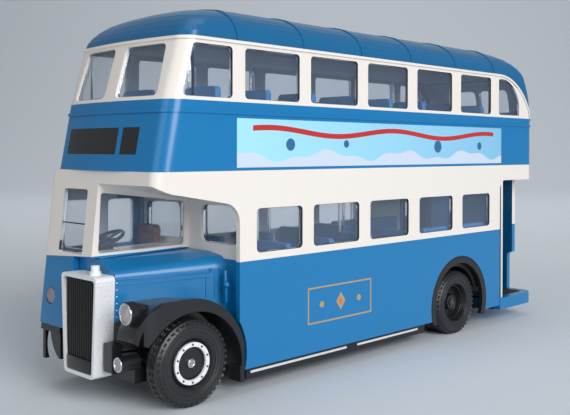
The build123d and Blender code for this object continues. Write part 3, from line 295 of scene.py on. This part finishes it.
# Poster panel on the nearside: fading sky, misty hills, a waved band and four discs
POSTER_FRONT = -52.8
POSTER_REAR = 58.8
POSTER_FOOT = 52.5
POSTER_HEAD = 63.85
HILL_LEVEL = 55.2
BAND_LEVEL = 61.0
BAND_HALF = 0.65
BAND_FRONT = -48.0
BAND_REAR = 54.0
POSTER_DISCS = [(-36.0, 57.9, 1.5), (-16.0, 58.2, 1.0), (24.0, 57.7, 1.8), (46.0, 58.0, 1.2)]

side = two_tone("upper_nearside_livery", UPPER_LINE, inside=PALE_GREY, edges=SHADE)
panel = side.both(side.between(side.y, POSTER_FRONT, POSTER_REAR),
                  side.between(side.z, POSTER_FOOT, POSTER_HEAD))
poster = side.both(panel, side.over(side.out, OUTSIDE))
side.lay(poster, PALE_BLUE)
fade = side.maths("DIVIDE", side.maths("SUBTRACT", side.y, POSTER_FRONT), POSTER_REAR - POSTER_FRONT)
side.lay(side.both(poster, fade), SKY_BLUE)


def wave(shift, pitch, swing):
    """Height of a wave along the poster."""
    turn = side.maths("MULTIPLY", side.maths("ADD", side.y, shift), 2 * pi / pitch)
    return side.maths("MULTIPLY", side.maths("SINE", turn), swing)


ridge = side.maths("ADD", wave(0.0, 31.0, 1.1), wave(3.0, 11.7, 0.5))
hills = side.under(side.maths("SUBTRACT", side.z, ridge), HILL_LEVEL)
side.lay(side.both(poster, hills), MIST)
band = side.under(side.away(side.maths("SUBTRACT", side.z, wave(8.0, 46.0, 0.9)), BAND_LEVEL), BAND_HALF)
side.lay(side.both(poster, side.between(side.y, BAND_FRONT, BAND_REAR), band), RED)
for y, z, radius in POSTER_DISCS:
    side.lay(side.both(poster, side.under(side.reach(y, z), radius)), SLATE)
nearside_livery = side.enamel()

# Lower deck: saloon, bulkhead, cab with its inside in painted shade, painted backdrop light and a shaded
# blue, and canopy
ENTRANCE_WALL = 57.0
CAB_SILL = 35.0
CAB_BACK = -58.0

saloon = two_tone("saloon_livery", SALOON_LINE, inside=PALE_GREY, edges=SHADE)
# Inside of the entrance in the shaded blue: the body's own blue, darkened as painted shade
entrance_inside = saloon.both(saloon.over(saloon.y, ENTRANCE_WALL), saloon.under(saloon.out, WINDOW_EDGE))
saloon.lay(entrance_inside, SHADED_BLUE)
# Black painted shade inside the rear arch
shade_wheel_arch(saloon, ARCH_R)
saloon_livery = saloon.enamel()
bulkhead_livery = two_tone("bulkhead_livery", SALOON_LINE).enamel()
# Cab inside: dark painted shade, pale grey above the sill as painted light of the backdrop seen through the
# windows, and the shaded blue behind the cab back
cab = two_tone("cab_livery", CAB_LINE, CAB_SLOPE, SALOON_LINE, inside=SHADE)
cab_inside = cab.under(cab.out, INSIDE)
cab.lay(cab.both(cab_inside, cab.over(cab.z, CAB_SILL)), PALE_GREY)
cab.lay(cab.both(cab_inside, cab.over(cab.y, CAB_BACK)), SHADED_BLUE)
cab_livery = cab.enamel()
canopy_cream = Coat("canopy_cream", CREAM).enamel()

# Lower nearside: gilt lining round a diamond between two dots
LINING_Y = -18.0
LINING_Z = 17.5
LINING_LENGTH = 12.0
LINING_HEIGHT = 4.6
LINING_WIDTH = 0.4
DIAMOND_LENGTH = 1.7
DIAMOND_HEIGHT = 2.3
DIAMOND_HEART = 0.5
DOTS = [-25.0, -11.0]
DOT_R = 0.8

lower = two_tone("lower_nearside_livery", SALOON_LINE, inside=PALE_GREY, edges=SHADE)
# Black painted shade inside the rear arch
shade_wheel_arch(lower, ARCH_R)
lower_face = lower.over(lower.out, OUTSIDE)
along = lower.away(lower.y, LINING_Y)
upright = lower.away(lower.z, LINING_Z)


def lining(inset):
    """Rectangle inside the outer edge of the gilt lining."""
    return lower.both(lower.under(along, LINING_LENGTH - inset), lower.under(upright, LINING_HEIGHT - inset))


lower.lay(lower.both(lower_face, lower.maths("SUBTRACT", lining(0.0), lining(LINING_WIDTH))), GOLD)
diamond = lower.maths("ADD", lower.maths("DIVIDE", along, DIAMOND_LENGTH),
                      lower.maths("DIVIDE", upright, DIAMOND_HEIGHT))
lower.lay(lower.both(lower_face, lower.under(diamond, 1.0)), GOLD)
lower.lay(lower.both(lower_face, lower.under(diamond, DIAMOND_HEART)), ORANGE)
for y in DOTS:
    lower.lay(lower.both(lower_face, lower.under(lower.reach(y, LINING_Z), DOT_R)), GOLD)
lower_livery = lower.enamel()

# Bonnet, platform and roof
PLATFORM_FRONT = 58.3
CEILING = -0.1

blue_enamel = Coat("blue_enamel", BLUE).enamel()
bonnet_coat = Coat("bonnet_paint", BLUE)
bonnet_coat.lay(bonnet_coat.under(bonnet_coat.z, BONNET_LINE), BLACK)
bonnet_coat.lay(bonnet_coat.under(bonnet_coat.reach(WING_Y, WING_Z), WING_REACH), BLACK)
bonnet_paint = bonnet_coat.enamel()
platform_coat = Coat("platform_blue", BLUE)
platform_coat.lay(platform_coat.under(platform_coat.y, PLATFORM_FRONT), BLACK)
platform_blue = platform_coat.enamel()
# Roof in the shaded blue: the body's blue darkened as painted shade, with pale grey inside
roof_coat = Coat("roof_blue", SHADED_BLUE)
roof_coat.lay(roof_coat.under(roof_coat.upward(), CEILING), PALE_GREY)
roof_blue = roof_coat.enamel()

# Radiator: bright paint with a soft mottle and a coarse skin
MOTTLE_SCALE = 2000.0
MOTTLE_DETAIL = 4.0
MOTTLE = 0.4
SKIN_SCALE = 1800.0
SKIN = 0.8

silver = Coat("silver_paint", SILVER, roughness=0.48, gloss=0.0)
silver.shader.inputs["Metallic"].default_value = 0.12
silver.lay(silver.maths("MULTIPLY", silver.noise(MOTTLE_SCALE, MOTTLE_DETAIL), MOTTLE), DULL_SILVER)
silver_paint = silver.grain(SKIN_SCALE, SKIN)

# Clear inserts, seats, metal, black parts and lenses
clear = clear_moulding("clear_insert")
seats = Coat("seat_blue", SEAT_CLOTH, roughness=0.45, gloss=0.0)
# Seats by the rear arch take black painted shade
shade_wheel_arch(seats, SEAT_ARCH_R)
seat_blue = seats.grain(PLAIN_SCALE, 0.05)
bright_paint = plain("bright_paint", (0.86, 0.85, 0.83, 1.0), roughness=0.35, metallic=0.15)
bright_plate = plain("bright_plate", (0.80, 0.80, 0.81, 1.0), roughness=0.18, metallic=1.0)
steel = plain("steel_rod", (0.55, 0.55, 0.56, 1.0), roughness=0.35, metallic=1.0)
nut_steel = plain("nut_steel", (0.10, 0.10, 0.11, 1.0), roughness=0.4, metallic=0.6)
satin_black = plain("satin_black", (0.014, 0.015, 0.018, 1.0), roughness=0.28, grain=0.05)
plate_black = plain("plate_black", (0.012, 0.012, 0.014, 1.0), roughness=0.30)
grille_black = plain("grille_black", (0.022, 0.021, 0.023, 1.0), roughness=0.50, grain=0.1)
rubber = plain("tyre_rubber", (0.020, 0.021, 0.024, 1.0), roughness=0.36, grain=0.45)
floor_dark = plain("floor_dark", (0.020, 0.020, 0.022, 1.0), roughness=0.6, grain=0.1)
seat_brown = plain("seat_brown", (0.170, 0.060, 0.030, 1.0), roughness=0.5, grain=0.1)
lens_silver = plain("lens_silver", (0.46, 0.45, 0.47, 1.0), roughness=0.30, metallic=0.3)
# Offside headlamp lens: a darker copy of the silver lens, painted shade
lens_in_shade = plain("lens_in_shade", (0.30, 0.27, 0.27, 1.0), roughness=0.40, metallic=0.2)

FINISHES = [
    (upper_livery, ["upper_offside_panel", "upper_rear_panel"]),
    (front_livery, ["upper_front_panel"]),
    (nearside_livery, ["upper_nearside_panel"]),
    (cab_livery, ["cab_body"]),
    (canopy_cream, ["canopy"]),
    (bulkhead_livery, ["bulkhead"]),
    (lower_livery, ["lower_nearside_panel"]),
    (saloon_livery, ["lower_offside_panel", "lower_rear_panel"]),
    (roof_blue, ["roof", "rear_dome"]),
    (bonnet_paint, ["bonnet"]),
    (clear, ["upper_front_glazing", "upper_nearside_glazing", "upper_offside_glazing", "upper_rear_glazing",
             "lower_nearside_glazing", "lower_offside_glazing", "bulkhead_glazing", "rear_light",
             "windscreen", "cab_nearside_glazing", "cab_offside_glazing"]),
    (silver_paint, ["radiator", "front_hub_ring_nearside", "front_hub_ring_offside"]),
    (grille_black, ["grille"]),
    (satin_black, ["nearside_wing", "offside_wing", "rear_arch_lips", "chassis", "steering_wheel",
                   "front_hub_nearside", "front_hub_offside", "rear_hub_nearside", "rear_hub_offside"]),
    (lens_silver, ["nearside_headlamp", "fog_lamp"]),
    (lens_in_shade, ["offside_headlamp"]),
    (seat_blue, ["upper_floor", "upper_seats", "lower_floor", "lower_seats", "saloon_partition",
                 "staircase"]),
    (platform_blue, ["platform"]),
    (floor_dark, ["platform_tread", "cab_floor"]),
    (seat_brown, ["driver_seat"]),
    (bright_plate, ["platform_pole", "upper_poles", "lower_poles"]),
    (steel, ["front_axle"]),
    (nut_steel, ["rear_axle"]),
    (rubber, ["front_tyre_nearside", "front_tyre_offside", "rear_tyres_nearside", "rear_tyres_offside"]),
]
for finish, names in FINISHES:
    for name in names:
        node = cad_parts[name]
        node.data.materials.clear()
        node.data.materials.append(finish)

# Trim: smooth angle, cut distance, shares of a radius sunk or rounded, and how squarely an end faces
SMOOTH_ANGLE = radians(35)
CUT = 0.0001
RING_SUNK = 0.5
DOME_SUNK = 0.4
ROD_ROUND = 0.35
END_NORMAL = 0.9


def at(x, y, z):
    """Place in metres."""
    return (x * MM, y * MM, z * MM)


def every_face(face):
    """Test that all faces pass."""
    return True


def end_face(face):
    """Test that the two ends of an upright rod pass."""
    return abs(face.normal.z) > END_NORMAL


def select_faces(test):
    """Goes into edit mode with only the faces selected that pass the test."""
    bpy.ops.object.mode_set(mode="EDIT")
    bpy.ops.mesh.select_mode(type="FACE")
    bpy.ops.mesh.select_all(action="DESELECT")
    bpy.ops.object.mode_set(mode="OBJECT")
    for face in bpy.context.object.data.polygons:
        face.select = test(face)
    bpy.ops.object.mode_set(mode="EDIT")


def select_edges(test):
    """Goes into edit mode with only the edges selected whose ends pass the test."""
    bpy.ops.object.mode_set(mode="EDIT")
    bpy.ops.mesh.select_mode(type="EDGE")
    bpy.ops.mesh.select_all(action="DESELECT")
    bpy.ops.object.mode_set(mode="OBJECT")
    mesh = bpy.context.object.data
    for edge in mesh.edges:
        edge.select = all(test(mesh.vertices[i].co) for i in edge.vertices)
    bpy.ops.object.mode_set(mode="EDIT")


def soften(offset, segments, test=every_face):
    """Rounds the edges of the faces that pass the test."""
    select_faces(test)
    bpy.ops.mesh.bevel(offset=offset * MM, segments=segments, affect="EDGES")
    bpy.ops.object.mode_set(mode="OBJECT")


def cut_back(place, out, sunk, hollow):
    """Cuts off what lies deeper than the sunk depth and closes the cut, with a flat ring if hollow."""
    plane = [p - o * sunk for p, o in zip(place, out)]
    bpy.ops.object.mode_set(mode="EDIT")
    bpy.ops.mesh.select_mode(type="EDGE")
    bpy.ops.mesh.select_all(action="SELECT")
    bpy.ops.mesh.bisect(plane_co=at(*plane), plane_no=out, use_fill=not hollow, clear_inner=True,
                        threshold=CUT * MM)
    if hollow:
        bpy.ops.mesh.bridge_edge_loops()
    bpy.ops.object.mode_set(mode="OBJECT")


def done(name, finish, body="bus"):
    """Names the piece, sets it at the origin, turns its faces out, paints it and hangs it on a body."""
    obj = bpy.context.object
    obj.name = name
    bpy.ops.object.transform_apply(location=True, rotation=True, scale=True)
    bpy.ops.object.mode_set(mode="EDIT")
    bpy.ops.mesh.select_all(action="SELECT")
    bpy.ops.mesh.normals_make_consistent(inside=False)
    bpy.ops.object.mode_set(mode="OBJECT")
    obj.data.materials.append(finish)
    bpy.ops.object.shade_smooth_by_angle(angle=SMOOTH_ANGLE)
    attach(obj, body)
    bpy.ops.object.select_all(action="DESELECT")


def ring(name, place, out, major, minor, finish, body="bus", count=48):
    """Rounded ring that stands out of a face."""
    turn = (0, radians(90), 0) if out[0] else (radians(90), 0, 0)
    bpy.ops.mesh.primitive_torus_add(location=at(*place), rotation=turn, major_radius=major * MM,
                                     minor_radius=minor * MM, major_segments=count, minor_segments=12)
    cut_back(place, out, RING_SUNK * minor, hollow=True)
    done(name, finish, body)


def rod(name, start, end, radius, finish, sides=12):
    """Rod with rounded ends."""
    a, b = Vector(at(*start)), Vector(at(*end))
    turn = (b - a).to_track_quat("Z", "Y").to_euler()
    bpy.ops.mesh.primitive_cylinder_add(vertices=sides, radius=radius * MM, depth=(b - a).length,
                                        location=(a + b) / 2, rotation=turn)
    soften(ROD_ROUND * radius, 2, end_face)
    done(name, finish)


def block(place, size, soft, segments=1, turn=(0, 0, 0)):
    """Box with softened edges."""
    bpy.ops.mesh.primitive_cube_add(size=1.0, location=at(*place), rotation=turn)
    bpy.context.object.scale = at(*size)
    bpy.ops.object.transform_apply(location=True, rotation=True, scale=True)
    soften(soft, segments)


def bar(name, low, high, finish, soft):
    """Bar between two corners."""
    middle = [(a + b) / 2 for a, b in zip(low, high)]
    extent = [b - a for a, b in zip(low, high)]
    block(middle, extent, soft, segments=2)
    done(name, finish)


def dome(place, radius, out):
    """Round head that stands out of a face."""
    bpy.ops.mesh.primitive_uv_sphere_add(segments=16, ring_count=10, radius=radius * MM, location=at(*place))
    cut_back(place, out, DOME_SUNK * radius, hollow=False)


# Lamps, number plate and windscreen bar
HEADLAMP = (16.4, -78.3, 21.9)
FOG_LAMP = (13.5, -78.35, 10.7)
PLATE_LOW = (-5.2, -79.85, 7.3)
PLATE_HIGH = (5.0, -79.45, 10.2)

ring("headlamp_rim", HEADLAMP, FORWARD, 2.1, 0.24, bright_plate)
ring("fog_lamp_rim", FOG_LAMP, FORWARD, 1.42, 0.2, bright_plate)
bar("number_plate", PLATE_LOW, PLATE_HIGH, plate_black, soft=0.08)
rod("windscreen_bar", (-14.6, -75.78, 39.4), (-4.1, -75.78, 39.4), 0.16, satin_black)

# Bonnet: beads along the side, straps and catches at the rear, a row of rivets at the nose whose pale colour
# is a painted highlight
BEAD_FRONT = -75.2
BEAD_REAR = -54.4
STRAPS = [-55.2, -53.2]
STRAP_FOOT = 22.0
STRAP_HEAD = 28.8
CATCHES = [-54.2, -51.9]
CATCH_Z = 28.6
CATCH_R = 0.38
CATCH_PROUD = 0.05
RIVET_Y = -75.0
RIVET_FOOT = 19.6
RIVET_R = 0.16
RIVET_PITCH = 1.5
RIVETS = 6


def bonnet_side(y):
    """Nearside face of the tapered bonnet."""
    return BONNET_HALF * (1.0 + (y - BONNET_NOSE) / BONNET_RUN)


def bonnet_bead(name, front_z, rear_z, radius):
    """Bead along the side of the bonnet."""
    start = (bonnet_side(BEAD_FRONT), BEAD_FRONT, front_z)
    end = (bonnet_side(BEAD_REAR), BEAD_REAR, rear_z)
    rod(name, start, end, radius, blue_enamel)


bonnet_bead("bonnet_hinge", 27.8, 27.9, 0.16)
bonnet_bead("bonnet_edge_bead", 26.7, 26.8, 0.12)
for i, y in enumerate(STRAPS):
    x = bonnet_side(y)
    rod("bonnet_strap_%d" % (i + 1), (x, y, STRAP_FOOT), (x, y, STRAP_HEAD), 0.14, blue_enamel)
for i, y in enumerate(CATCHES):
    dome((bonnet_side(y) + CATCH_PROUD, y, CATCH_Z), CATCH_R, NEARSIDE)
    done("bonnet_catch_%d" % (i + 1), blue_enamel)
# Rivets in pale paint: the pale colour is a painted highlight
dome((bonnet_side(RIVET_Y), RIVET_Y, RIVET_FOOT), RIVET_R, NEARSIDE)
row = bpy.context.object.modifiers.new("row", "ARRAY")
row.count = RIVETS
row.use_relative_offset = False
row.use_constant_offset = True
row.constant_offset_displace = (0, 0, RIVET_PITCH * MM)
bpy.ops.object.modifier_apply(modifier="row")
done("bonnet_rivets_glint", bright_paint)

# Bead between bonnet and cab, pipe and lamp on the bulkhead
rod("bonnet_cab_bead", (0.25, -75.0, 31.95), (0.25, -52.2, 32.42), 0.22, blue_enamel)
rod("bulkhead_pipe", (17.3, -52.05, 21.0), (16.9, -52.05, 28.4), 0.38, blue_enamel)
dome((17.7, -52.3, 25.2), 0.75, FORWARD)
done("bulkhead_lamp", blue_enamel)

# Thin bright strips under the skirt
STRIP_SIDES = [("nearside", 19.9, 20.1), ("offside", -20.1, -19.9)]
STRIP_RUNS = [(-47.0, -13.6), (-9.4, 17.0)]
STRIP_FOOT = 4.0
STRIP_HEAD = 4.6

for hand_name, x0, x1 in STRIP_SIDES:
    for i, (y0, y1) in enumerate(STRIP_RUNS):
        rail = "%s_skirt_strip_%d" % (hand_name, i + 1)
        bar(rail, (x0, y0, STRIP_FOOT), (x1, y1, STRIP_HEAD), bright_paint, soft=0.06)

# Entrance: black edge and bright rail
EDGE_X = 21.55
EDGE_Y = ENTRANCE + 0.45
EDGE_TOP = ENTRANCE_TOP - 1.4
RAIL_X = 21.2
RAIL_Y = ENTRANCE + 2.1

rod("entrance_edge", (EDGE_X, EDGE_Y, PLATFORM_TOP), (EDGE_X, EDGE_Y, EDGE_TOP), 0.45, satin_black)
rod("entrance_rail", (RAIL_X, RAIL_Y, PLATFORM_TOP), (RAIL_X, RAIL_Y, ENTRANCE_TOP), 0.48, bright_paint,
    sides=16)

# Tyres: name, place of the outer face, hand, width, axle and body
TYRES = [
    ("front_nearside", 21.0, 1, 4.6, FRONT_AXLE, "front_wheelset"),
    ("front_offside", -21.0, -1, 4.6, FRONT_AXLE, "front_wheelset"),
    ("rear_nearside", 20.7, 1, 4.5, REAR_AXLE, "rear_wheelset"),
    ("rear_offside", -20.7, -1, 4.5, REAR_AXLE, "rear_wheelset"),
]

# Tread: blocks on both shoulders, and slanted rows at shares of the width
BLOCKS = 40
SHOULDER_BLOCK = (0.3, 0.75, 0.8)
SHOULDER_IN = 0.33
SHOULDER_R = 8.92
SHOULDER_TILT = pi / 2 - atan2(1.2, 0.7)
ROW_BLOCK = (0.95, 0.72, 0.24)
ROW_R = 9.53
TREAD_ROWS = [(0.28, 32), (0.50, -32), (0.72, 32)]

# Ridges on the tyre: name, depth below the face, radius and thickness
TYRE_RIDGES = [("sidewall_ridge", 0.0, 7.95, 0.13), ("bead_ridge", 0.12, 6.95, 0.12)]

# Nuts: depth below the face, radius of their circle and count
NUT_RINGS = {"front_wheelset": (0.4, 4.17, 10), "rear_wheelset": (3.5, 3.5, 8)}
NUT_R = 0.24
NUT_HEIGHT = 0.3

# Front axle cap, and ridges in the rear dish by depth and radius
CAP_DEPTH = 0.9
CAP_R = 0.8
CAP_THICK = 0.16
DISH_RIDGES = [(0.35, 5.9), (1.9, 5.05), (3.5, 4.3), (2.0, 2.1)]
DISH_THICK = 0.2


def spin_round(axle, count):
    """Copies the piece round an axle."""
    step = 2 * pi / count
    bpy.ops.object.mode_set(mode="EDIT")
    bpy.ops.mesh.select_all(action="SELECT")
    bpy.ops.mesh.spin(steps=count - 1, angle=step * (count - 1), dupli=True,
                      center=at(0, axle, WHEEL_R), axis=(1, 0, 0))
    bpy.ops.object.mode_set(mode="OBJECT")


def tread(name, face, hand, width, axle, body):
    """Tread blocks of one tyre."""
    for shoulder, x, way in (("outer", face, hand), ("inner", face - hand * width, -hand)):
        place = (x - way * SHOULDER_IN, axle, WHEEL_R + SHOULDER_R)
        block(place, SHOULDER_BLOCK, soft=0.06, turn=(0, way * SHOULDER_TILT, 0))
        spin_round(axle, BLOCKS)
        done("%s_%s_tread" % (name, shoulder), rubber, body)
    for i, (share, slant) in enumerate(TREAD_ROWS):
        place = (face - hand * share * width, axle, WHEEL_R + ROW_R)
        block(place, ROW_BLOCK, soft=0.05, turn=(0, 0, radians(slant)))
        spin_round(axle, BLOCKS)
        done("%s_tread_row_%d" % (name, i + 1), rubber, body)


def nuts(name, face, hand, axle, body):
    """Circle of nuts on one wheel."""
    depth, circle, count = NUT_RINGS[body]
    place = at(face - hand * depth, axle, WHEEL_R + circle)
    bpy.ops.mesh.primitive_cylinder_add(vertices=6, radius=NUT_R * MM, depth=NUT_HEIGHT * MM,
                                        location=place, rotation=(0, radians(90), 0))
    bpy.ops.object.transform_apply(location=True, rotation=True, scale=True)
    soften(offset=0.04, segments=1)
    spin_round(axle, count)
    done(name + "_nuts", nut_steel, body)


for name, face, hand, width, axle, body in TYRES:
    side_out = (hand, 0, 0)
    tread(name, face, hand, width, axle, body)
    for ridge_name, depth, radius, thick in TYRE_RIDGES:
        middle = (face - hand * depth, axle, WHEEL_R)
        ring("%s_%s" % (name, ridge_name), middle, side_out, radius, thick, rubber, body, count=64)
    nuts(name, face, hand, axle, body)
    if body == "front_wheelset":
        middle = (face - hand * CAP_DEPTH, axle, WHEEL_R)
        ring(name + "_axle_cap", middle, side_out, CAP_R, CAP_THICK, bright_plate, body, count=32)
    else:
        for i, (depth, radius) in enumerate(DISH_RIDGES):
            middle = (face - hand * depth, axle, WHEEL_R)
            ring("%s_dish_ridge_%d" % (name, i + 1), middle, side_out, radius, DISH_THICK, satin_black, body)

# Camera at the photograph's place
VIEW_TURN = radians(42.70)
VIEW_TILT = radians(89.446)
VIEW_ROLL = radians(-0.144)
VIEW_PLACE = (0.16743, -0.17343, 0.05654)

bpy.ops.object.camera_add(location=VIEW_PLACE, rotation=(VIEW_TILT, VIEW_ROLL, VIEW_TURN))
camera = bpy.context.object
camera.name = "photo_camera"
camera.data.sensor_width = 36.0
camera.data.lens = 51.84
camera.data.shift_x = -0.1086
camera.data.shift_y = -0.0864
camera.data.clip_start = 0.001
bpy.context.scene.camera = camera

# Pale paper sweep below and behind the model
PAPER_SIZE = 4.0
PAPER_WIDEN = 3.0
PAPER_FAR = 1.9
PAPER_LOW = 0.1
PAPER_RISE = 1.8
PAPER_CURVE = 1.1
PAPER_STEPS = 24

paper = plain("studio_paper", (0.72, 0.77, 0.82, 1.0), roughness=0.85)
away = Vector((-sin(VIEW_TURN), cos(VIEW_TURN), 0.0))


def far_point(point):
    """Test that points on the far edge pass."""
    return point.dot(away) > PAPER_FAR


def far_low_point(point):
    """Test that points at the foot of the far edge pass."""
    return far_point(point) and point.z < PAPER_LOW


bpy.ops.mesh.primitive_plane_add(size=PAPER_SIZE, location=(0, 0, 0), rotation=(0, 0, VIEW_TURN))
sweep = bpy.context.object
sweep.name = "paper_sweep"
sweep.scale.x = PAPER_WIDEN
bpy.ops.object.transform_apply(location=True, rotation=True, scale=True)
select_edges(far_point)
bpy.ops.mesh.extrude_region_move(TRANSFORM_OT_translate={"value": (0, 0, PAPER_RISE)})
bpy.ops.object.mode_set(mode="OBJECT")
select_edges(far_low_point)
bpy.ops.mesh.bevel(offset=PAPER_CURVE, segments=PAPER_STEPS, affect="EDGES")
bpy.ops.object.mode_set(mode="OBJECT")
bpy.ops.object.shade_smooth()
sweep.data.materials.append(paper)


def soft_light(name, place, aim, size, power):
    """Round soft light that looks at a point."""
    bpy.ops.object.light_add(type="AREA", location=place)
    lamp = bpy.context.object
    lamp.name = name
    lamp.data.shape = "DISK"
    lamp.data.size = size
    lamp.data.energy = power
    lamp.rotation_euler = (Vector(aim) - Vector(place)).to_track_quat("-Z", "Y").to_euler()


WASH_PLACE = 0.45 * away + Vector((0, 0, 1.0))
WASH_AIM = 2.0 * away + Vector((0, 0, 0.35))
soft_light("side_key", (1.05, -0.20, 0.50), (0, 0, 0.04), size=0.8, power=10.5)
soft_light("front_fill", (0.10, -1.05, 0.50), (0, 0, 0.05), size=0.8, power=1.7)
soft_light("top", (0.0, 0.1, 1.2), (0, 0, 0.05), size=0.9, power=1.2)
soft_light("backdrop_wash", WASH_PLACE, WASH_AIM, size=1.0, power=5.5)

world = bpy.data.worlds.new("studio")
bpy.context.scene.world = world
world.use_nodes = True
world.node_tree.nodes["Background"].inputs["Color"].default_value = (0.60, 0.62, 0.64, 1.0)
world.node_tree.nodes["Background"].inputs["Strength"].default_value = 0.4
bpy.context.scene.view_settings.view_transform = "Standard"
